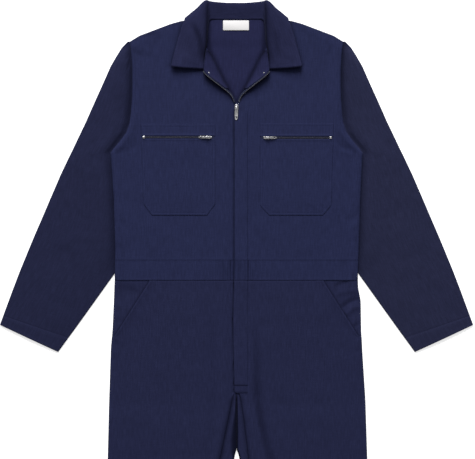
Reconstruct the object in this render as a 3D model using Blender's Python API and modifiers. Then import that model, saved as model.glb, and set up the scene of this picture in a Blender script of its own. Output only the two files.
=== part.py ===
"""Navy boiler suit laid flat on its back: collar, zip front, zipped chest pockets, legs a little apart.

The suit lies on the plane z = 0 with its front up and its neck towards +Y. Tables are in millimetres,
and "down" is the distance below the top edge of the collar.
"""

import math

import bmesh
import bpy
import numpy as np
from mathutils import Matrix, Vector

MM = 0.001
LENGTH = 1586.0  # collar top to hem
WALL = 1.2  # a panel of cloth
GAP = 0.3  # between neighbours
STEP = WALL + GAP  # from one layer's middle to the next
FLOOR_LEVEL = WALL / 2  # middle of the layer that touches the ground
FRONT_PLATEAU_TOP = 5.7
WAIST_TOP = 556.0
WAIST_BOTTOM = 599.0
CROTCH = 840.0
FLY_END = 815.0
OVERLAP_EDGE = -4.3  # free edge of the wearer's left front, over the zip
UNDERLAP_EDGE = 10.0  # hidden edge of the wearer's right front
FOLD_RADIUS = STEP / 2
COLLAR_LOWEST = FLOOR_LEVEL + 0.05
TAPE_THICKNESS = 0.9
HEM = LENGTH

CLOTH = (0.021, 0.026, 0.072, 1.0)
CLOTH_DARK = (0.017, 0.021, 0.058, 1.0)
METAL = (0.62, 0.62, 0.64, 1.0)
TAPE = (0.012, 0.014, 0.035, 1.0)
LABEL = (0.86, 0.85, 0.85, 1.0)


class Sections:
    """Rows of numbers under named columns, read between the rows by their first column."""

    def __init__(self, columns, rows):
        self.names = columns.split()
        self.rows = np.array(rows, float)

    def at(self, name, place):
        return float(np.interp(place, self.rows[:, 0], self.rows[:, self.names.index(name)]))


# Half width of the bodice from the neck to the armpit: the shoulder line, then the armhole.
SHOULDER = Sections(
    "out down",
    [(63, 33), (100, 41), (120, 44), (142, 50), (208, 75), (229, 88)],
)
SHOULDER_BY_DOWN = Sections("down out", [(d, x) for x, d in SHOULDER.rows])
ARMHOLE = Sections(
    "down out",
    [
        (88, 229), (100, 227), (118, 225), (148, 223), (182, 223), (212, 224),
        (240, 226), (262, 229), (282, 236), (300, 249), (318, 264), (326, 270),
    ],
)
ARMPIT = 326.0

# Side edges below the armpit, for the wearer's right (-X) and left (+X).
SIDES = Sections(
    "down right left",
    [
        (326, 270, 270.5), (345, 268, 269), (427, 262.5, 264.7), (534, 259.5, 261.4), (590, 260.4, 259.3),
        (615, 261.5, 260.4), (641, 262.5, 265.7), (705, 265.5, 266.8), (748, 269, 269),
        (847, 272.2, 275.4), (981, 275.5, 279.7), (1080, 279, 283), (1200, 283, 287),
        (1400, 289, 292), (1586, 293, 295),
    ],
)

# Inner fold of each leg and its inseam, which lies turned to the front.
LEGS = Sections(
    "down fold_right seam_right fold_left seam_left",
    [
        (840, 0.8, 4.3, 0.8, 5.4), (846, 0.8, 8.0, 0.8, 7.5), (870, 0.8, 12.5, 0.8, 11.5),
        (898, 0.85, 18, 0.85, 16), (940, 1.1, 27, 1.1, 21), (956, 1.6, 29.8, 1.5, 22.9),
        (981, 7.2, 35.4, 6.9, 26), (1080, 15, 46, 15, 38), (1200, 31, 62, 32, 58),
        (1400, 61, 88, 63, 88), (1586, 89, 112, 92, 114),
    ],
)

# Where the long fold runs down the wearer's left thigh.
THIGH_FOLD = Sections("down middle", [(700, 41), (849, 44), (941, 61), (1000, 78), (1120, 104)])
THIGH_FOLD_HEIGHT = 2.6
THIGH_FOLD_WIDTH = 17.0

# How high the middle of the front layer lies away from its edges.
PLATEAU = Sections(
    "down level",
    [(0, 5.1), (560, 5.1), (640, 4.9), (720, 4.5), (840, 3.7), (981, 3.1), (1200, 2.9), (1586, 2.8)],
)

# Where the back begins to lie on the sleeve that is tucked under it.
SLEEVE_UNDER_BACK = Sections(
    "down out",
    [
        (270, 330), (308, 258), (330, 236), (372, 214), (430, 188), (495, 170), (525, 174),
        (560, 206), (580, 232), (590, 258), (604, 300), (612, 330),
    ],
)
SLEEVE_LIFT = 2 * STEP
SLEEVE_LIFT_RAMP = 30.0
COLLAR_LIFT = STEP

# The neck edge and the turned-back V of a front.
NECK_EDGE = Sections(
    "down out",
    [
        (33, 66), (98, 66.5), (106, 61), (118, 53.5), (132, 47), (148, 39.5), (165, 31), (182, 21.5),
        (196, 14), (212, 6.7),
    ],
)
LAP_START = 222.0

# Middle of the wearer's right front under the zip, from neck to crotch.
UNDERLAP = Sections("down level", [(0, 3.0), (600, 3.0), (720, 2.4), (815, 2.3), (840, 2.1)])

# A slanted pocket mouth runs from the waist seam to the side seam.
SLANT = Sections("down out", [(599, 185.5), (718, 261.0)])
SLANT_TUCK = 15.0

# One sleeve: its inner edge follows the armhole, runs hidden under the back, and comes out to the cuff.
SLEEVE = Sections(
    "row inner inner_down outer outer_down",
    [
        (0, 228.8, 90, 234, 90), (1, 227, 100, 245, 101), (2, 225, 118, 255, 116), (3, 223, 148, 269, 140),
        (4, 223, 182, 284, 174), (5, 224, 212, 298, 205), (6, 226, 240, 311, 234), (7, 229, 262, 321, 257),
        (8, 236, 282, 332, 280), (9, 249, 300, 342, 301), (10, 264, 318, 351, 320),
        (11, 270, 326, 356, 330), (12, 249, 372, 376, 372), (13, 224, 430, 401, 430),
        (14, 208, 478, 418, 470), (15, 206, 508, 431, 500), (16, 232, 544, 446, 536),
        (17, 268, 594, 464, 580), (18, 306, 647, 480, 622), (19, 344, 700, 494, 660),
        (20, 382, 752, 506.5, 694),
    ],
)
SLEEVE_TUCK = Sections("down tuck", [(88, -0.4), (100, -0.4), (118, 3), (262, 3), (282, -0.4), (326, -0.4)])
SLEEVE_ARMPIT_ROW = 11
SLEEVE_LOFT = 1.5

# Half of the collar, from its free front end to the middle of the back. Each section runs from the
# neck seam over the roll to the outer edge of the leaf, which passes round the shoulder and under the back.
COLLAR = Sections(
    "row seam seam_down seam_up roll roll_down roll_up belly belly_down belly_up edge edge_down edge_up",
    [
        (0, 71, 146.5, 7.4, 76, 146.4, 8.8, 108, 144, 10.2, 140, 140.5, 10.8),
        (1, 69, 127, 7.2, 72.5, 126.5, 9.8, 104, 122, 10.4, 134.5, 118, 9.8),
        (2, 66.6, 108, 7.0, 68.5, 106, 11.4, 99, 103, 10.6, 129.5, 99.5, 8.8),
        (3, 63.2, 88, 6.2, 66, 84, 12.2, 96, 85, 10.8, 125.5, 84.5, 8.2),
        (4, 61.5, 68, 5.4, 65.5, 58, 12.8, 93, 63, 10.6, 120.5, 67, 7.6),
        (5, 60, 52, 4.6, 64.5, 34, 12.2, 90, 43, 10.0, 115.5, 52, 7.2),
        (6, 58, 43.5, 3.8, 63.4, 14, 11.2, 87, 28, 8.8, 111.8, 43, 6.6),
        (7, 54, 40.5, 3.0, 61.8, 0.9, 8.4, 86, 17.5, 5.0, 109.6, 36.6, 3.6),
        (8, 48, 40.5, 2.4, 57, 2.4, 7.4, 79, 20, 1.3, 103, 38.2, 0.6),
        (9, 36, 40.5, 2.1, 40, 4.4, 6.8, 58, 28, 0.7, 84, 54, 0.6),
        (10, 18, 40.5, 2.1, 20, 6.0, 6.4, 29, 29, 0.7, 45, 62, 0.6),
        (11, 0, 40.5, 2.1, 0, 6.4, 6.3, 0, 30, 0.7, 0, 66, 0.6),
    ],
)

# A lapel is the top of the front's facing, turned out and held at the roll of the V.
LAPEL = Sections(
    "down outer outer_up roll",
    [
        (107, 65.4, 7.2, 59.6), (118, 67.0, 7.6, 52.2), (132, 68.6, 8.4, 45.7), (149, 70.4, 10.6, 38.1),
        (156, 64.6, 10.9, 33.9), (165, 54.0, 10.9, 29.5), (174, 42.0, 10.6, 25.0), (182, 31.4, 10.0, 20.2),
        (189, 22.2, 9.2, 16.4),
    ],
)
ZIP_HALF = Sections(
    "out down up",
    [
        (71, 152.5, 11.4), (66, 159, 11.7), (56, 167.6, 11.6), (44, 176.6, 11.2), (32, 185.8, 10.5),
        (21, 194, 9.6), (13, 201.5, 8.9), (8, 209.5, 8.5), (5, 218, 8.3),
    ],
)
TEETH_RADIUS = 1.1

# Chest pockets by side: outline corners of the patch and the ends of its zip.
POCKETS = {
    "right": {"inner": 45.5, "outer": 204.7, "outer_low": 198.5, "top": 263.6, "slit": 292.5,
              "chamfer_down": 435, "bottom": 459.3, "low_inner": 63.2, "low_outer": 181.0, "slider": 59.0},
    "left": {"inner": 50.0, "outer": 207.5, "outer_low": 202.5, "top": 262.0, "slit": 293.5,
             "chamfer_down": 438, "bottom": 459.3, "low_inner": 70.3, "low_outer": 184.7, "slider": 64.0},
}
POCKET_MOUTH = 4.2  # half of the gap between the two parts of a pocket
POCKET_FULLNESS = 0.9

NECK_LABEL = {"width": 55.5, "length": 21.0, "corner": 1.5, "thickness": 1.0, "out": -1.2, "down": 52.8}
STOP = {"foot": 2.2, "head": 1.5, "height": 1.6, "out": 58.5, "down": 155.8, "up": 12.6}
SLIDER = {"length": 12.0, "width": 7.6, "nose": 5.4, "height": 2.4, "bail_width": 2.2, "bail_length": 8.0,
          "bail_wall": 1.0, "bail_back": 1.5, "bar_height": 2.1}
PULL = {"length": 26.0, "pocket_length": 21.0, "width": 7.2, "neck": 5.6, "thickness": 1.2, "bar": 1.4,
        "neck_length": 5.2, "flare": 8.0, "taper": 9.5, "end": 5.8, "eye": 3.6, "eye_length": 3.6,
        "slot_up": 5.4, "slot": 3.2, "slot_width": 4.0}
BAIL_SUNK = 0.8
POCKET_SLIDER_WIDTH = 0.72  # the pocket sliders and pulls beside the main ones

# Rows that every piece of the bodice shares, so that edges that meet have the same corners.
BODICE_ROWS = [
    36, 42, 50, 62, 75, 88, 100, 118, 132, 148, 165, 182, 196, 212, 222, 240, 262, 282, 300, 318, 326, 345,
    372, 410, 450, 495, 530, WAIST_TOP - GAP / 2,
]
WAIST_ROWS = [WAIST_TOP + GAP / 2, 570, 586, WAIST_BOTTOM - GAP / 2]
TROUSER_ROWS = [
    WAIST_BOTTOM + GAP / 2, 612, 630, 650, 672, 695, 718, 735, 760, 790, FLY_END, CROTCH, 846, 870, 898,
    940, 956, 981, 1030, 1080, 1140, 1200, 1270, 1340, 1420, 1500, HEM,
]


def smooth(t):
    t = min(1.0, max(0.0, t))
    return t * t * (3 - 2 * t)


def ease_out(t):
    t = min(1.0, max(0.0, t))
    return 1 - (1 - t) ** 2


def blend(a, b, t):
    return a + (b - a) * t


def world(out, down, up):
    return Vector((out * MM, (LENGTH / 2 - down) * MM, up * MM))


# ---- how high each layer lies ----------------------------------------------------------------


def back_level(x, down):
    out = abs(x)
    start = SLEEVE_UNDER_BACK.at("out", down)
    over_sleeve = smooth((out - start + SLEEVE_LIFT_RAMP) / SLEEVE_LIFT_RAMP)
    over_collar = smooth((104 - down) / 24) * smooth((150 - out) / 24)
    return FLOOR_LEVEL + max(SLEEVE_LIFT * over_sleeve, COLLAR_LIFT * over_collar)


def outer_edge(side, down):
    if down < SHOULDER_BY_DOWN.rows[-1][0]:
        return SHOULDER_BY_DOWN.at("out", down)
    if down < ARMPIT:
        return ARMHOLE.at("out", down)
    return SIDES.at(side, down)


def shoulder_distance(out, down):
    return (down - SHOULDER.at("down", out)) * math.cos(math.atan2(13, 37))


def facing_under_edge(down):
    """The pocket facing lies between back and front at the lower end of the pocket mouth."""
    return STEP * smooth((760 - down) / 20)


def leg_fold(side, x, down):
    """A broad soft fold down the wearer's left thigh."""
    if side != "left" or not 700 < down < 1120:
        return 0.0
    height = THIGH_FOLD_HEIGHT * smooth((down - 700) / 120) * smooth((1120 - down) / 160)
    return height * math.exp(-(((x - THIGH_FOLD.at("middle", down)) / THIGH_FOLD_WIDTH) ** 2))


def front_level(side, x, down):
    """Middle of the front layer; x grows towards the side seam, and is below zero past the middle."""
    plateau = PLATEAU.at("level", down)
    under = back_level(x, down)
    level = max(plateau, under + STEP) + leg_fold(side, x, down)
    edge = outer_edge(side, down)
    if down < ARMPIT:
        near_shoulder = ease_out(shoulder_distance(x, down) / 18)
        level = blend(under + STEP, level, near_shoulder)
        armhole_edge = max(blend(2.1, 3.9, smooth((down - 84) / 16)), under + STEP)
        if down > 80:
            level = min(level, blend(armhole_edge, level, ease_out((edge - x) / 15)))
    else:
        seam_level = under + STEP
        if down > WAIST_BOTTOM:
            seam_level += facing_under_edge(down)
        level = blend(seam_level, max(level, seam_level), ease_out((edge - x) / 14))
    if down > CROTCH + 1:
        inner = LEGS.at("seam_" + side, down)
        level = blend(2.1, level, ease_out((x - inner) / 14))
    elif down >= 196:
        under_lap = UNDERLAP.at("level", down)
        if side == "right":
            level = blend(under_lap, level, smooth((x - 7) / 17))
        else:
            over_lap = under_lap + WALL + 2 * GAP + TAPE_THICKNESS
            level = blend(over_lap, level, smooth((x - 18) / 20))
    return level


# ---- sheets of cloth -------------------------------------------------------------------------


def material(name, colour, roughness, metallic=0.0):
    found = bpy.data.materials.get(name)
    if found:
        return found
    made = bpy.data.materials.new(name)
    made.use_nodes = True
    shader = made.node_tree.nodes["Principled BSDF"]
    shader.inputs["Base Color"].default_value = colour
    shader.inputs["Roughness"].default_value = roughness
    shader.inputs["Metallic"].default_value = metallic
    made.diffuse_color = colour
    return made


def cloth(name, shade=CLOTH):
    return material("cloth_" + name, shade, 0.85)


def metal(name):
    return material("metal_" + name, METAL, 0.28, 1.0)


def new_object(name, mesh, surface, smooth_shading=False):
    piece = bpy.data.objects.new(name, mesh)
    parts.objects.link(piece)
    mesh.materials.append(surface)
    if smooth_shading:
        mesh.shade_smooth()
    return piece


def sheet(name, rows, surface, wall=WALL):
    """A wall of cloth on a grid of its middle points; a row or column of None leaves that part out."""
    cloth_mesh = bmesh.new()
    grid = [[cloth_mesh.verts.new(world(*point)) if point else None for point in row] for row in rows]
    for upper, lower in zip(grid, grid[1:]):
        for a, b, c, d in zip(upper, upper[1:], lower[1:], lower):
            if a and b and c and d:
                cloth_mesh.faces.new((a, d, c, b))
    bmesh.ops.delete(cloth_mesh, geom=[v for v in cloth_mesh.verts if not v.link_faces], context="VERTS")
    mesh = bpy.data.meshes.new(name)
    cloth_mesh.to_mesh(mesh)
    cloth_mesh.free()
    piece = new_object(name, mesh, surface)
    wall_modifier = piece.modifiers.new("cloth wall", "SOLIDIFY")
    wall_modifier.thickness = wall * MM
    wall_modifier.offset = 0
    wall_modifier.use_even_offset = True
    return piece


def spread(start, end, count, start_offsets=(), end_offsets=()):
    """Columns between two edges, with some at set distances from either edge where there is room."""
    width = end - start
    room = abs(width) * 0.4
    scale_start = min(1.0, room / start_offsets[-1]) if start_offsets else 1.0
    scale_end = min(1.0, room / end_offsets[-1]) if end_offsets else 1.0
    sign = 1 if width > 0 else -1
    first = [start] + [start + sign * o * scale_start for o in start_offsets]
    last = [end - sign * o * scale_end for o in reversed(end_offsets)] + [end]
    middle = [blend(first[-1], last[0], i / (count + 1)) for i in range(1, count + 1)]
    return first + middle + last


def panel_rows(side, downs, inner_edge, outer_edge_at, count, inner_offsets, outer_offsets, extra=0.0):
    sign = -1 if side == "right" else 1
    rows = []
    for down in downs:
        columns = spread(inner_edge(down), outer_edge_at(down), count, inner_offsets, outer_offsets)
        row = [(sign * x, down, front_level(side, x, down) + extra * smooth((x - 10) / 20)) for x in columns]
        rows.append(row[::-1] if sign < 0 else row)
    return rows


def lap_edge(side, down):
    """Free edge at the middle of the front: over the zip on the left, under it on the right."""
    if down < LAP_START:
        return NECK_EDGE.at("out", down)
    if down <= FLY_END:
        return OVERLAP_EDGE if side == "left" else -UNDERLAP_EDGE
    if down <= CROTCH:
        return blend(OVERLAP_EDGE if side == "left" else -UNDERLAP_EDGE, 4.6, smooth((down - FLY_END) / 25))
    return LEGS.at("seam_" + side, down) + GAP


def build_fronts():
    for side in ("right", "left"):
        rows = panel_rows(
            side, BODICE_ROWS, lambda d: lap_edge(side, d), lambda d: outer_edge(side, d), 3,
            (6, 18, 32), (3, 9, 20),
        )
        sheet("front_" + side, rows, cloth("front_" + side))
        rows = panel_rows(
            side, WAIST_ROWS, lambda d: lap_edge(side, d), lambda d: outer_edge(side, d), 3,
            (6, 18, 32), (3, 9, 20), 0.4,
        )
        sheet("waistband_front_" + side, rows, cloth("waistband_" + side))


def trouser_outer(side, down):
    if down < 718:
        return SLANT.at("out", down)
    return outer_edge(side, down)


def build_trouser_fronts():
    for side in ("right", "left"):
        rows = panel_rows(
            side, TROUSER_ROWS, lambda d: lap_edge(side, d), lambda d: trouser_outer(side, d), 4,
            (5, 16, 34), (3, 10),
        )
        sheet("trouser_front_" + side, rows, cloth("trouser_front_" + side))


def build_pocket_facings():
    for side in ("right", "left"):
        sign = -1 if side == "right" else 1
        rows = []
        for down in TROUSER_ROWS:
            if down > 740:
                break
            inner = min(SLANT.at("out", down) - SLANT_TUCK, 250)
            columns = spread(inner, outer_edge(side, down), 2, (), (3,))
            row = [(sign * x, down, back_level(x, down) + STEP) for x in columns]
            rows.append(row[::-1] if sign < 0 else row)
        sheet("pocket_facing_" + side, rows, cloth("pocket_facing_" + side))


def build_backs():
    neck = 62.0
    neck_down = 42.0
    rows = []
    for down in BODICE_ROWS:
        edge = outer_edge("right", down)
        wing = spread(edge, neck, 4, (3, 9, 22), ())
        middle = [neck / 2, 0, -neck / 2] if down >= neck_down else [None, None, None]
        left_half = [(-x, down, back_level(x, down)) for x in wing]
        other = spread(outer_edge("left", down), neck, 4, (3, 9, 22), ())
        right_half = [(x, down, back_level(x, down)) for x in reversed(other)]
        centre = [(-x, down, back_level(x, down)) if x is not None else None for x in middle]
        rows.append(left_half + centre + right_half)
    sheet("back", rows, cloth("back", CLOTH_DARK))
    rows = []
    for down in WAIST_ROWS:
        wing = spread(outer_edge("right", down), 0, 3, (3, 9, 22), ())
        other = spread(outer_edge("left", down), 0, 3, (3, 9, 22), ())
        right_half = [(x, down, back_level(x, down)) for x in reversed(other[:-1])]
        rows.append([(-x, down, back_level(x, down)) for x in wing] + right_half)
    sheet("waistband_back", rows, cloth("waistband_back", CLOTH_DARK))


def fold_arc(x, down, outward, steps=4):
    """Half turn of cloth from the floor layer up to the layer on it, with its crest at x."""
    centre = x - outward * FOLD_RADIUS
    middle = FLOOR_LEVEL + FOLD_RADIUS
    points = []
    for i in range(steps + 1):
        angle = math.pi * (i / steps - 0.5)
        out = centre + outward * FOLD_RADIUS * math.cos(angle)
        points.append((out, down, middle + FOLD_RADIUS * math.sin(angle)))
    return points


def build_trouser_backs():
    """Each leg's back panel turns round the inner fold of the leg up to the inseam on the front."""
    for side in ("right", "left"):
        sign = -1 if side == "right" else 1
        rows = []
        for down in TROUSER_ROWS:
            fold = LEGS.at("fold_" + side, down) if down > CROTCH else GAP
            lay_end = fold + FOLD_RADIUS if down > CROTCH else fold
            columns = spread(outer_edge(side, down), lay_end, 5, (3, 9, 22), ())
            row = [(sign * x, down, back_level(x, down)) for x in columns]
            if down > CROTCH:
                seam = LEGS.at("seam_" + side, down)
                arc = fold_arc(sign * fold, down, -sign)
                end = fold + FOLD_RADIUS
                strip = [(sign * blend(end, seam, t), down, FLOOR_LEVEL + STEP) for t in (0.5, 1.0)]
                row += arc[1:] + strip
            else:
                row += [None] * 6
            rows.append(row if sign < 0 else row[::-1])
        sheet("trouser_back_" + side, rows, cloth("trouser_back_" + side, CLOTH_DARK))


def sleeve_front_level(out, down, t):
    """The sleeve lies flat while the body is on it, and is a little fuller outside."""
    body = outer_edge("right", down) if down < 640 else 0
    clear = smooth((out - body - 30) / 40)
    return FLOOR_LEVEL + STEP + SLEEVE_LOFT * math.sin(math.pi * min(1, t)) * clear


def build_sleeves():
    for side in ("right", "left"):
        sign = -1 if side == "right" else 1
        rows = []
        for row_number, inner, inner_down, outer, outer_down in SLEEVE.rows:
            row = []
            at_armhole = row_number <= SLEEVE_ARMPIT_ROW
            tuck = SLEEVE_TUCK.at("tuck", inner_down) if at_armhole else 0.0
            along = Vector((outer - inner, outer_down - inner_down))
            length = along.length
            unit = along / length
            front_start = -tuck / unit.x if at_armhole else 0.0
            back_start = 0.4 if at_armhole else 0.0
            flat_end = length - FOLD_RADIUS
            for t in (0, 0.14, 0.32, 0.5, 0.68, 0.86, 1):
                distance = blend(front_start, flat_end, t)
                x = inner + unit.x * distance
                down = inner_down + unit.y * distance
                row.append((sign * x, down, sleeve_front_level(x, down, t)))
            for angle in (45, 0, -45, -90):
                reach = flat_end + FOLD_RADIUS * math.cos(math.radians(angle))
                x = inner + unit.x * reach
                down = inner_down + unit.y * reach
                up = FLOOR_LEVEL + FOLD_RADIUS * (1 + math.sin(math.radians(angle)))
                row.append((sign * x, down, up))
            for t in (0.66, 0.33, 0):
                distance = blend(back_start, flat_end, t)
                x = inner + unit.x * distance
                row.append((sign * x, inner_down + unit.y * distance, FLOOR_LEVEL))
            rows.append(row if sign > 0 else row[::-1])
        sheet("sleeve_" + side, rows, cloth("sleeve_" + side))


# ---- collar and lapels -----------------------------------------------------------------------


def through(points, steps):
    """A smooth line through a few points, with the given number of steps in each stretch."""
    points = [Vector(p) for p in points]
    tangents = [points[1] - points[0]]
    for before, after in zip(points, points[2:]):
        tangents.append((after - before) / 2)
    tangents.append(points[-1] - points[-2])
    line = [points[0]]
    for a, b, ta, tb, count in zip(points, points[1:], tangents, tangents[1:], steps):
        reach = (b - a).length
        ta = ta.normalized() * reach * 0.8
        tb = tb.normalized() * reach * 0.8
        for i in range(1, count + 1):
            t = i / count
            line.append(
                a * (2 * t**3 - 3 * t**2 + 1) + ta * (t**3 - 2 * t**2 + t)
                + b * (3 * t**2 - 2 * t**3) + tb * (t**3 - t**2)
            )
    return line


def build_collar():
    sections = []
    for row in COLLAR.rows:
        points = [tuple(row[1 + 3 * i:4 + 3 * i]) for i in range(4)]
        sections.append(through(points, (3, 3, 2)))
    columns = [through(column, (1, 1, 1, 1, 1, 2, 3, 3, 2, 1, 1)) for column in zip(*sections)]
    half = [[(x, down, max(up, COLLAR_LOWEST)) for x, down, up in row] for row in zip(*columns)]
    mirrored = [[(-x, down, up) for x, down, up in row] for row in half[:-1]]
    collar = sheet("collar", mirrored + half[::-1], cloth("collar"))
    collar.modifiers["cloth wall"].use_even_offset = False


def build_lapels():
    for side in ("right", "left"):
        sign = -1 if side == "right" else 1
        rows = []
        for down, outer, outer_up, roll in LAPEL.rows:
            width = outer - roll
            row = [(sign * outer, down, outer_up)]
            for t, rise in ((0.66, 0.62), (0.33, 0.25)):
                row.append((sign * (roll + width * t), down, blend(7.9, outer_up, rise)))
            row += [(sign * (roll + 1.3), down, 7.7), (sign * (roll + 0.3), down, 7.2)]
            row += [(sign * roll, down, 6.4), (sign * (roll + 0.1), down, 5.3)]
            rows.append(row if sign < 0 else row[::-1])
        sheet("lapel_" + side, rows, cloth("lapel_" + side))


# ---- pockets and label -----------------------------------------------------------------------


def pocket_row(pocket, down, inner, outer, full):
    row = []
    for x in spread(inner, outer, 2, (5,), (5,)):
        across = math.sin(math.pi * (x - inner) / (outer - inner)) ** 0.7 if inner < x < outer else 0
        row.append((x, down, FRONT_PLATEAU_TOP + GAP + WALL / 2 + POCKET_FULLNESS * across * full))
    return row


def build_chest_pockets():
    for side, pocket in POCKETS.items():
        sign = -1 if side == "right" else 1

        def outer(down, pocket=pocket):
            return blend(pocket["outer"], pocket["outer_low"], (down - pocket["top"]) / 180)

        top, slit = pocket["top"], pocket["slit"]
        upper_downs = (top, (top + slit) / 2, slit - POCKET_MOUTH)
        upper = [pocket_row(pocket, down, pocket["inner"], outer(down), 0.2) for down in upper_downs]
        mouth, turn = slit + POCKET_MOUTH, pocket["chamfer_down"]
        fullness = ((mouth, 0.3), (320, 0.8), (365, 1.0), (405, 1.0), (turn, 0.5))
        lower = []
        for down, full in fullness:
            lower.append(pocket_row(pocket, down, pocket["inner"], outer(down), full))
        lower.append(pocket_row(pocket, pocket["bottom"], pocket["low_inner"], pocket["low_outer"], 0.0))
        for name, rows in (("pocket_top_", upper), ("pocket_", lower)):
            if sign < 0:
                rows = [row[::-1] for row in rows]
            placed = [[(sign * x, down, up) for x, down, up in row] for row in rows]
            sheet(name + side, placed, cloth("pocket_" + side))


def rounded_outline(width, length, corner, steps=4):
    points = []
    for turn, (sx, sy) in enumerate(((1, 1), (-1, 1), (-1, -1), (1, -1))):
        for i in range(steps + 1):
            angle = math.radians(90 * (turn + i / steps))
            x = sx * (width / 2 - corner) + corner * math.cos(angle)
            y = sy * (length / 2 - corner) + corner * math.sin(angle)
            points.append((x, y))
    return points


def plate(name, outlines, thickness, surface):
    """A flat plate from closed outlines in millimetres; the later outlines are holes in the first."""
    curve = bpy.data.curves.new(name, "CURVE")
    curve.dimensions = "2D"
    curve.fill_mode = "BOTH"
    curve.extrude = thickness * MM / 2
    for outline in outlines:
        spline = curve.splines.new("POLY")
        spline.points.add(len(outline) - 1)
        for point, (x, y) in zip(spline.points, outline):
            point.co = (x * MM, y * MM, 0, 1)
        spline.use_cyclic_u = True
    piece = bpy.data.objects.new(name, curve)
    parts.objects.link(piece)
    curve.materials.append(surface)
    return piece


def build_label():
    outline = rounded_outline(NECK_LABEL["width"], NECK_LABEL["length"], NECK_LABEL["corner"])
    thickness = NECK_LABEL["thickness"]
    piece = plate("neck_label", [outline], thickness, material("label", LABEL, 0.7))
    middle_up = FLOOR_LEVEL + COLLAR_LIFT + WALL / 2 + GAP + thickness / 2
    piece.location = world(NECK_LABEL["out"], NECK_LABEL["down"], middle_up)


# ---- zips ------------------------------------------------------------------------------------


def box(name, low, high, surface):
    mesh = bpy.data.meshes.new(name)
    shape = bmesh.new()
    bmesh.ops.create_cube(shape, size=1)
    centre = (Vector(low) + Vector(high)) / 2
    size = Vector(high) - Vector(low)
    bmesh.ops.scale(shape, vec=size, verts=shape.verts)
    bmesh.ops.translate(shape, vec=centre, verts=shape.verts)
    shape.to_mesh(mesh)
    shape.free()
    return new_object(name, mesh, surface)


def join(piece, other):
    """Union of two pieces; the second becomes a hidden cutter."""
    parts.objects.unlink(other)
    cutters.objects.link(other)
    other.hide_render = True
    other.display_type = "WIRE"
    union = piece.modifiers.new("join " + other.name, "BOOLEAN")
    union.operation = "UNION"
    union.object = other
    union.solver = "EXACT"


def build_closed_zip():
    rows = []
    panel_rows = BODICE_ROWS + WAIST_ROWS + TROUSER_ROWS
    for down in [LAP_START + 2] + [down for down in panel_rows if LAP_START + 8 < down < FLY_END - 1]:
        level = UNDERLAP.at("level", down) + WALL / 2 + GAP + TAPE_THICKNESS / 2
        rows.append([(-3.5, down, level), (3.0, down, level), (9.0, down, level)])
    sheet("zip_closed", rows, material("tape_closed", TAPE, 0.8), TAPE_THICKNESS)


def build_open_zip():
    for side in ("right", "left"):
        sign = -1 if side == "right" else 1
        name = "zip_open_" + side
        curve = bpy.data.curves.new(name, "CURVE")
        curve.dimensions = "3D"
        curve.bevel_depth = TEETH_RADIUS * MM
        curve.bevel_resolution = 1
        curve.use_fill_caps = True
        spline = curve.splines.new("POLY")
        spline.points.add(len(ZIP_HALF.rows) - 1)
        for point, (out, down, up) in zip(spline.points, ZIP_HALF.rows):
            point.co = (*world(sign * out, down, up), 1)
        piece = bpy.data.objects.new(name, curve)
        parts.objects.link(piece)
        curve.materials.append(metal("teeth"))
        stop = "zip_stop_" + side
        mesh = bpy.data.meshes.new(stop)
        shape = bmesh.new()
        foot, head, height = (STOP[key] * MM for key in ("foot", "head", "height"))
        bmesh.ops.create_cone(shape, cap_ends=True, segments=12, radius1=foot, radius2=head, depth=height)
        shape.to_mesh(mesh)
        shape.free()
        stud = new_object(stop, mesh, metal("stop"), True)
        stud.location = world(sign * STOP["out"], STOP["down"], STOP["up"])


def build_pocket_zips():
    for side, pocket in POCKETS.items():
        sign = -1 if side == "right" else 1
        down = pocket["slit"]
        base = FRONT_PLATEAU_TOP + GAP
        half_width = POCKET_MOUTH - GAP
        ends = sorted((sign * (pocket["inner"] + 3), sign * (pocket["outer"] - 3)))
        low = world(ends[0], down + half_width, base)
        high = world(ends[1], down - half_width, base + TAPE_THICKNESS)
        tape = box("pocket_zip_" + side, low, high, material("tape_" + side, TAPE, 0.8))
        chain_ends = sorted((sign * (pocket["slider"] + 7), sign * (pocket["outer"] - 9)))
        low = world(chain_ends[0], down + 1.6, base + TAPE_THICKNESS - 0.4)
        high = world(chain_ends[1], down - 1.6, base + TAPE_THICKNESS + 0.5)
        join(tape, box("pocket_chain_" + side, low, high, material("tape_" + side, TAPE, 0.8)))
        stop_ends = sorted((sign * (pocket["outer"] - 8.6), sign * (pocket["outer"] - 3.8)))
        low = world(stop_ends[0], down + 2.2, base + TAPE_THICKNESS + GAP)
        high = world(stop_ends[1], down - 2.2, base + TAPE_THICKNESS + GAP + 1.3)
        box("pocket_stop_" + side, low, high, metal("stop"))


def slider_mesh(name):
    """A zip slider along +Y with its nose at +Y, its foot at z = 0 and a bail over its back."""
    s = SLIDER
    mesh = bpy.data.meshes.new(name)
    body = bmesh.new()
    nose, half, end = s["nose"] / 2, s["width"] / 2, s["length"] / 2
    shoulder = s["length"] / 5
    corners = [(-nose, end), (-half, shoulder), (-half, -end), (half, -end), (half, shoulder), (nose, end)]
    face = body.faces.new([body.verts.new((x * MM, y * MM, 0)) for x, y in corners])
    raised = bmesh.ops.extrude_face_region(body, geom=[face])
    top = [v for v in raised["geom"] if isinstance(v, bmesh.types.BMVert)]
    bmesh.ops.translate(body, vec=(0, 0, s["height"] * MM), verts=top)
    bmesh.ops.recalc_face_normals(body, faces=body.faces)
    body.to_mesh(mesh)
    body.free()
    return mesh


def bail_arch(reach, rise):
    """Half an oval from +Y over to -Y, with both feet sunk in the slider."""
    arch = [(reach, -BAIL_SUNK)]
    for degrees in range(0, 181, 20):
        angle = math.radians(degrees)
        arch.append((reach * math.cos(angle), rise * math.sin(angle) ** 0.7))
    return arch + [(-reach, -BAIL_SUNK)]


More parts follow.
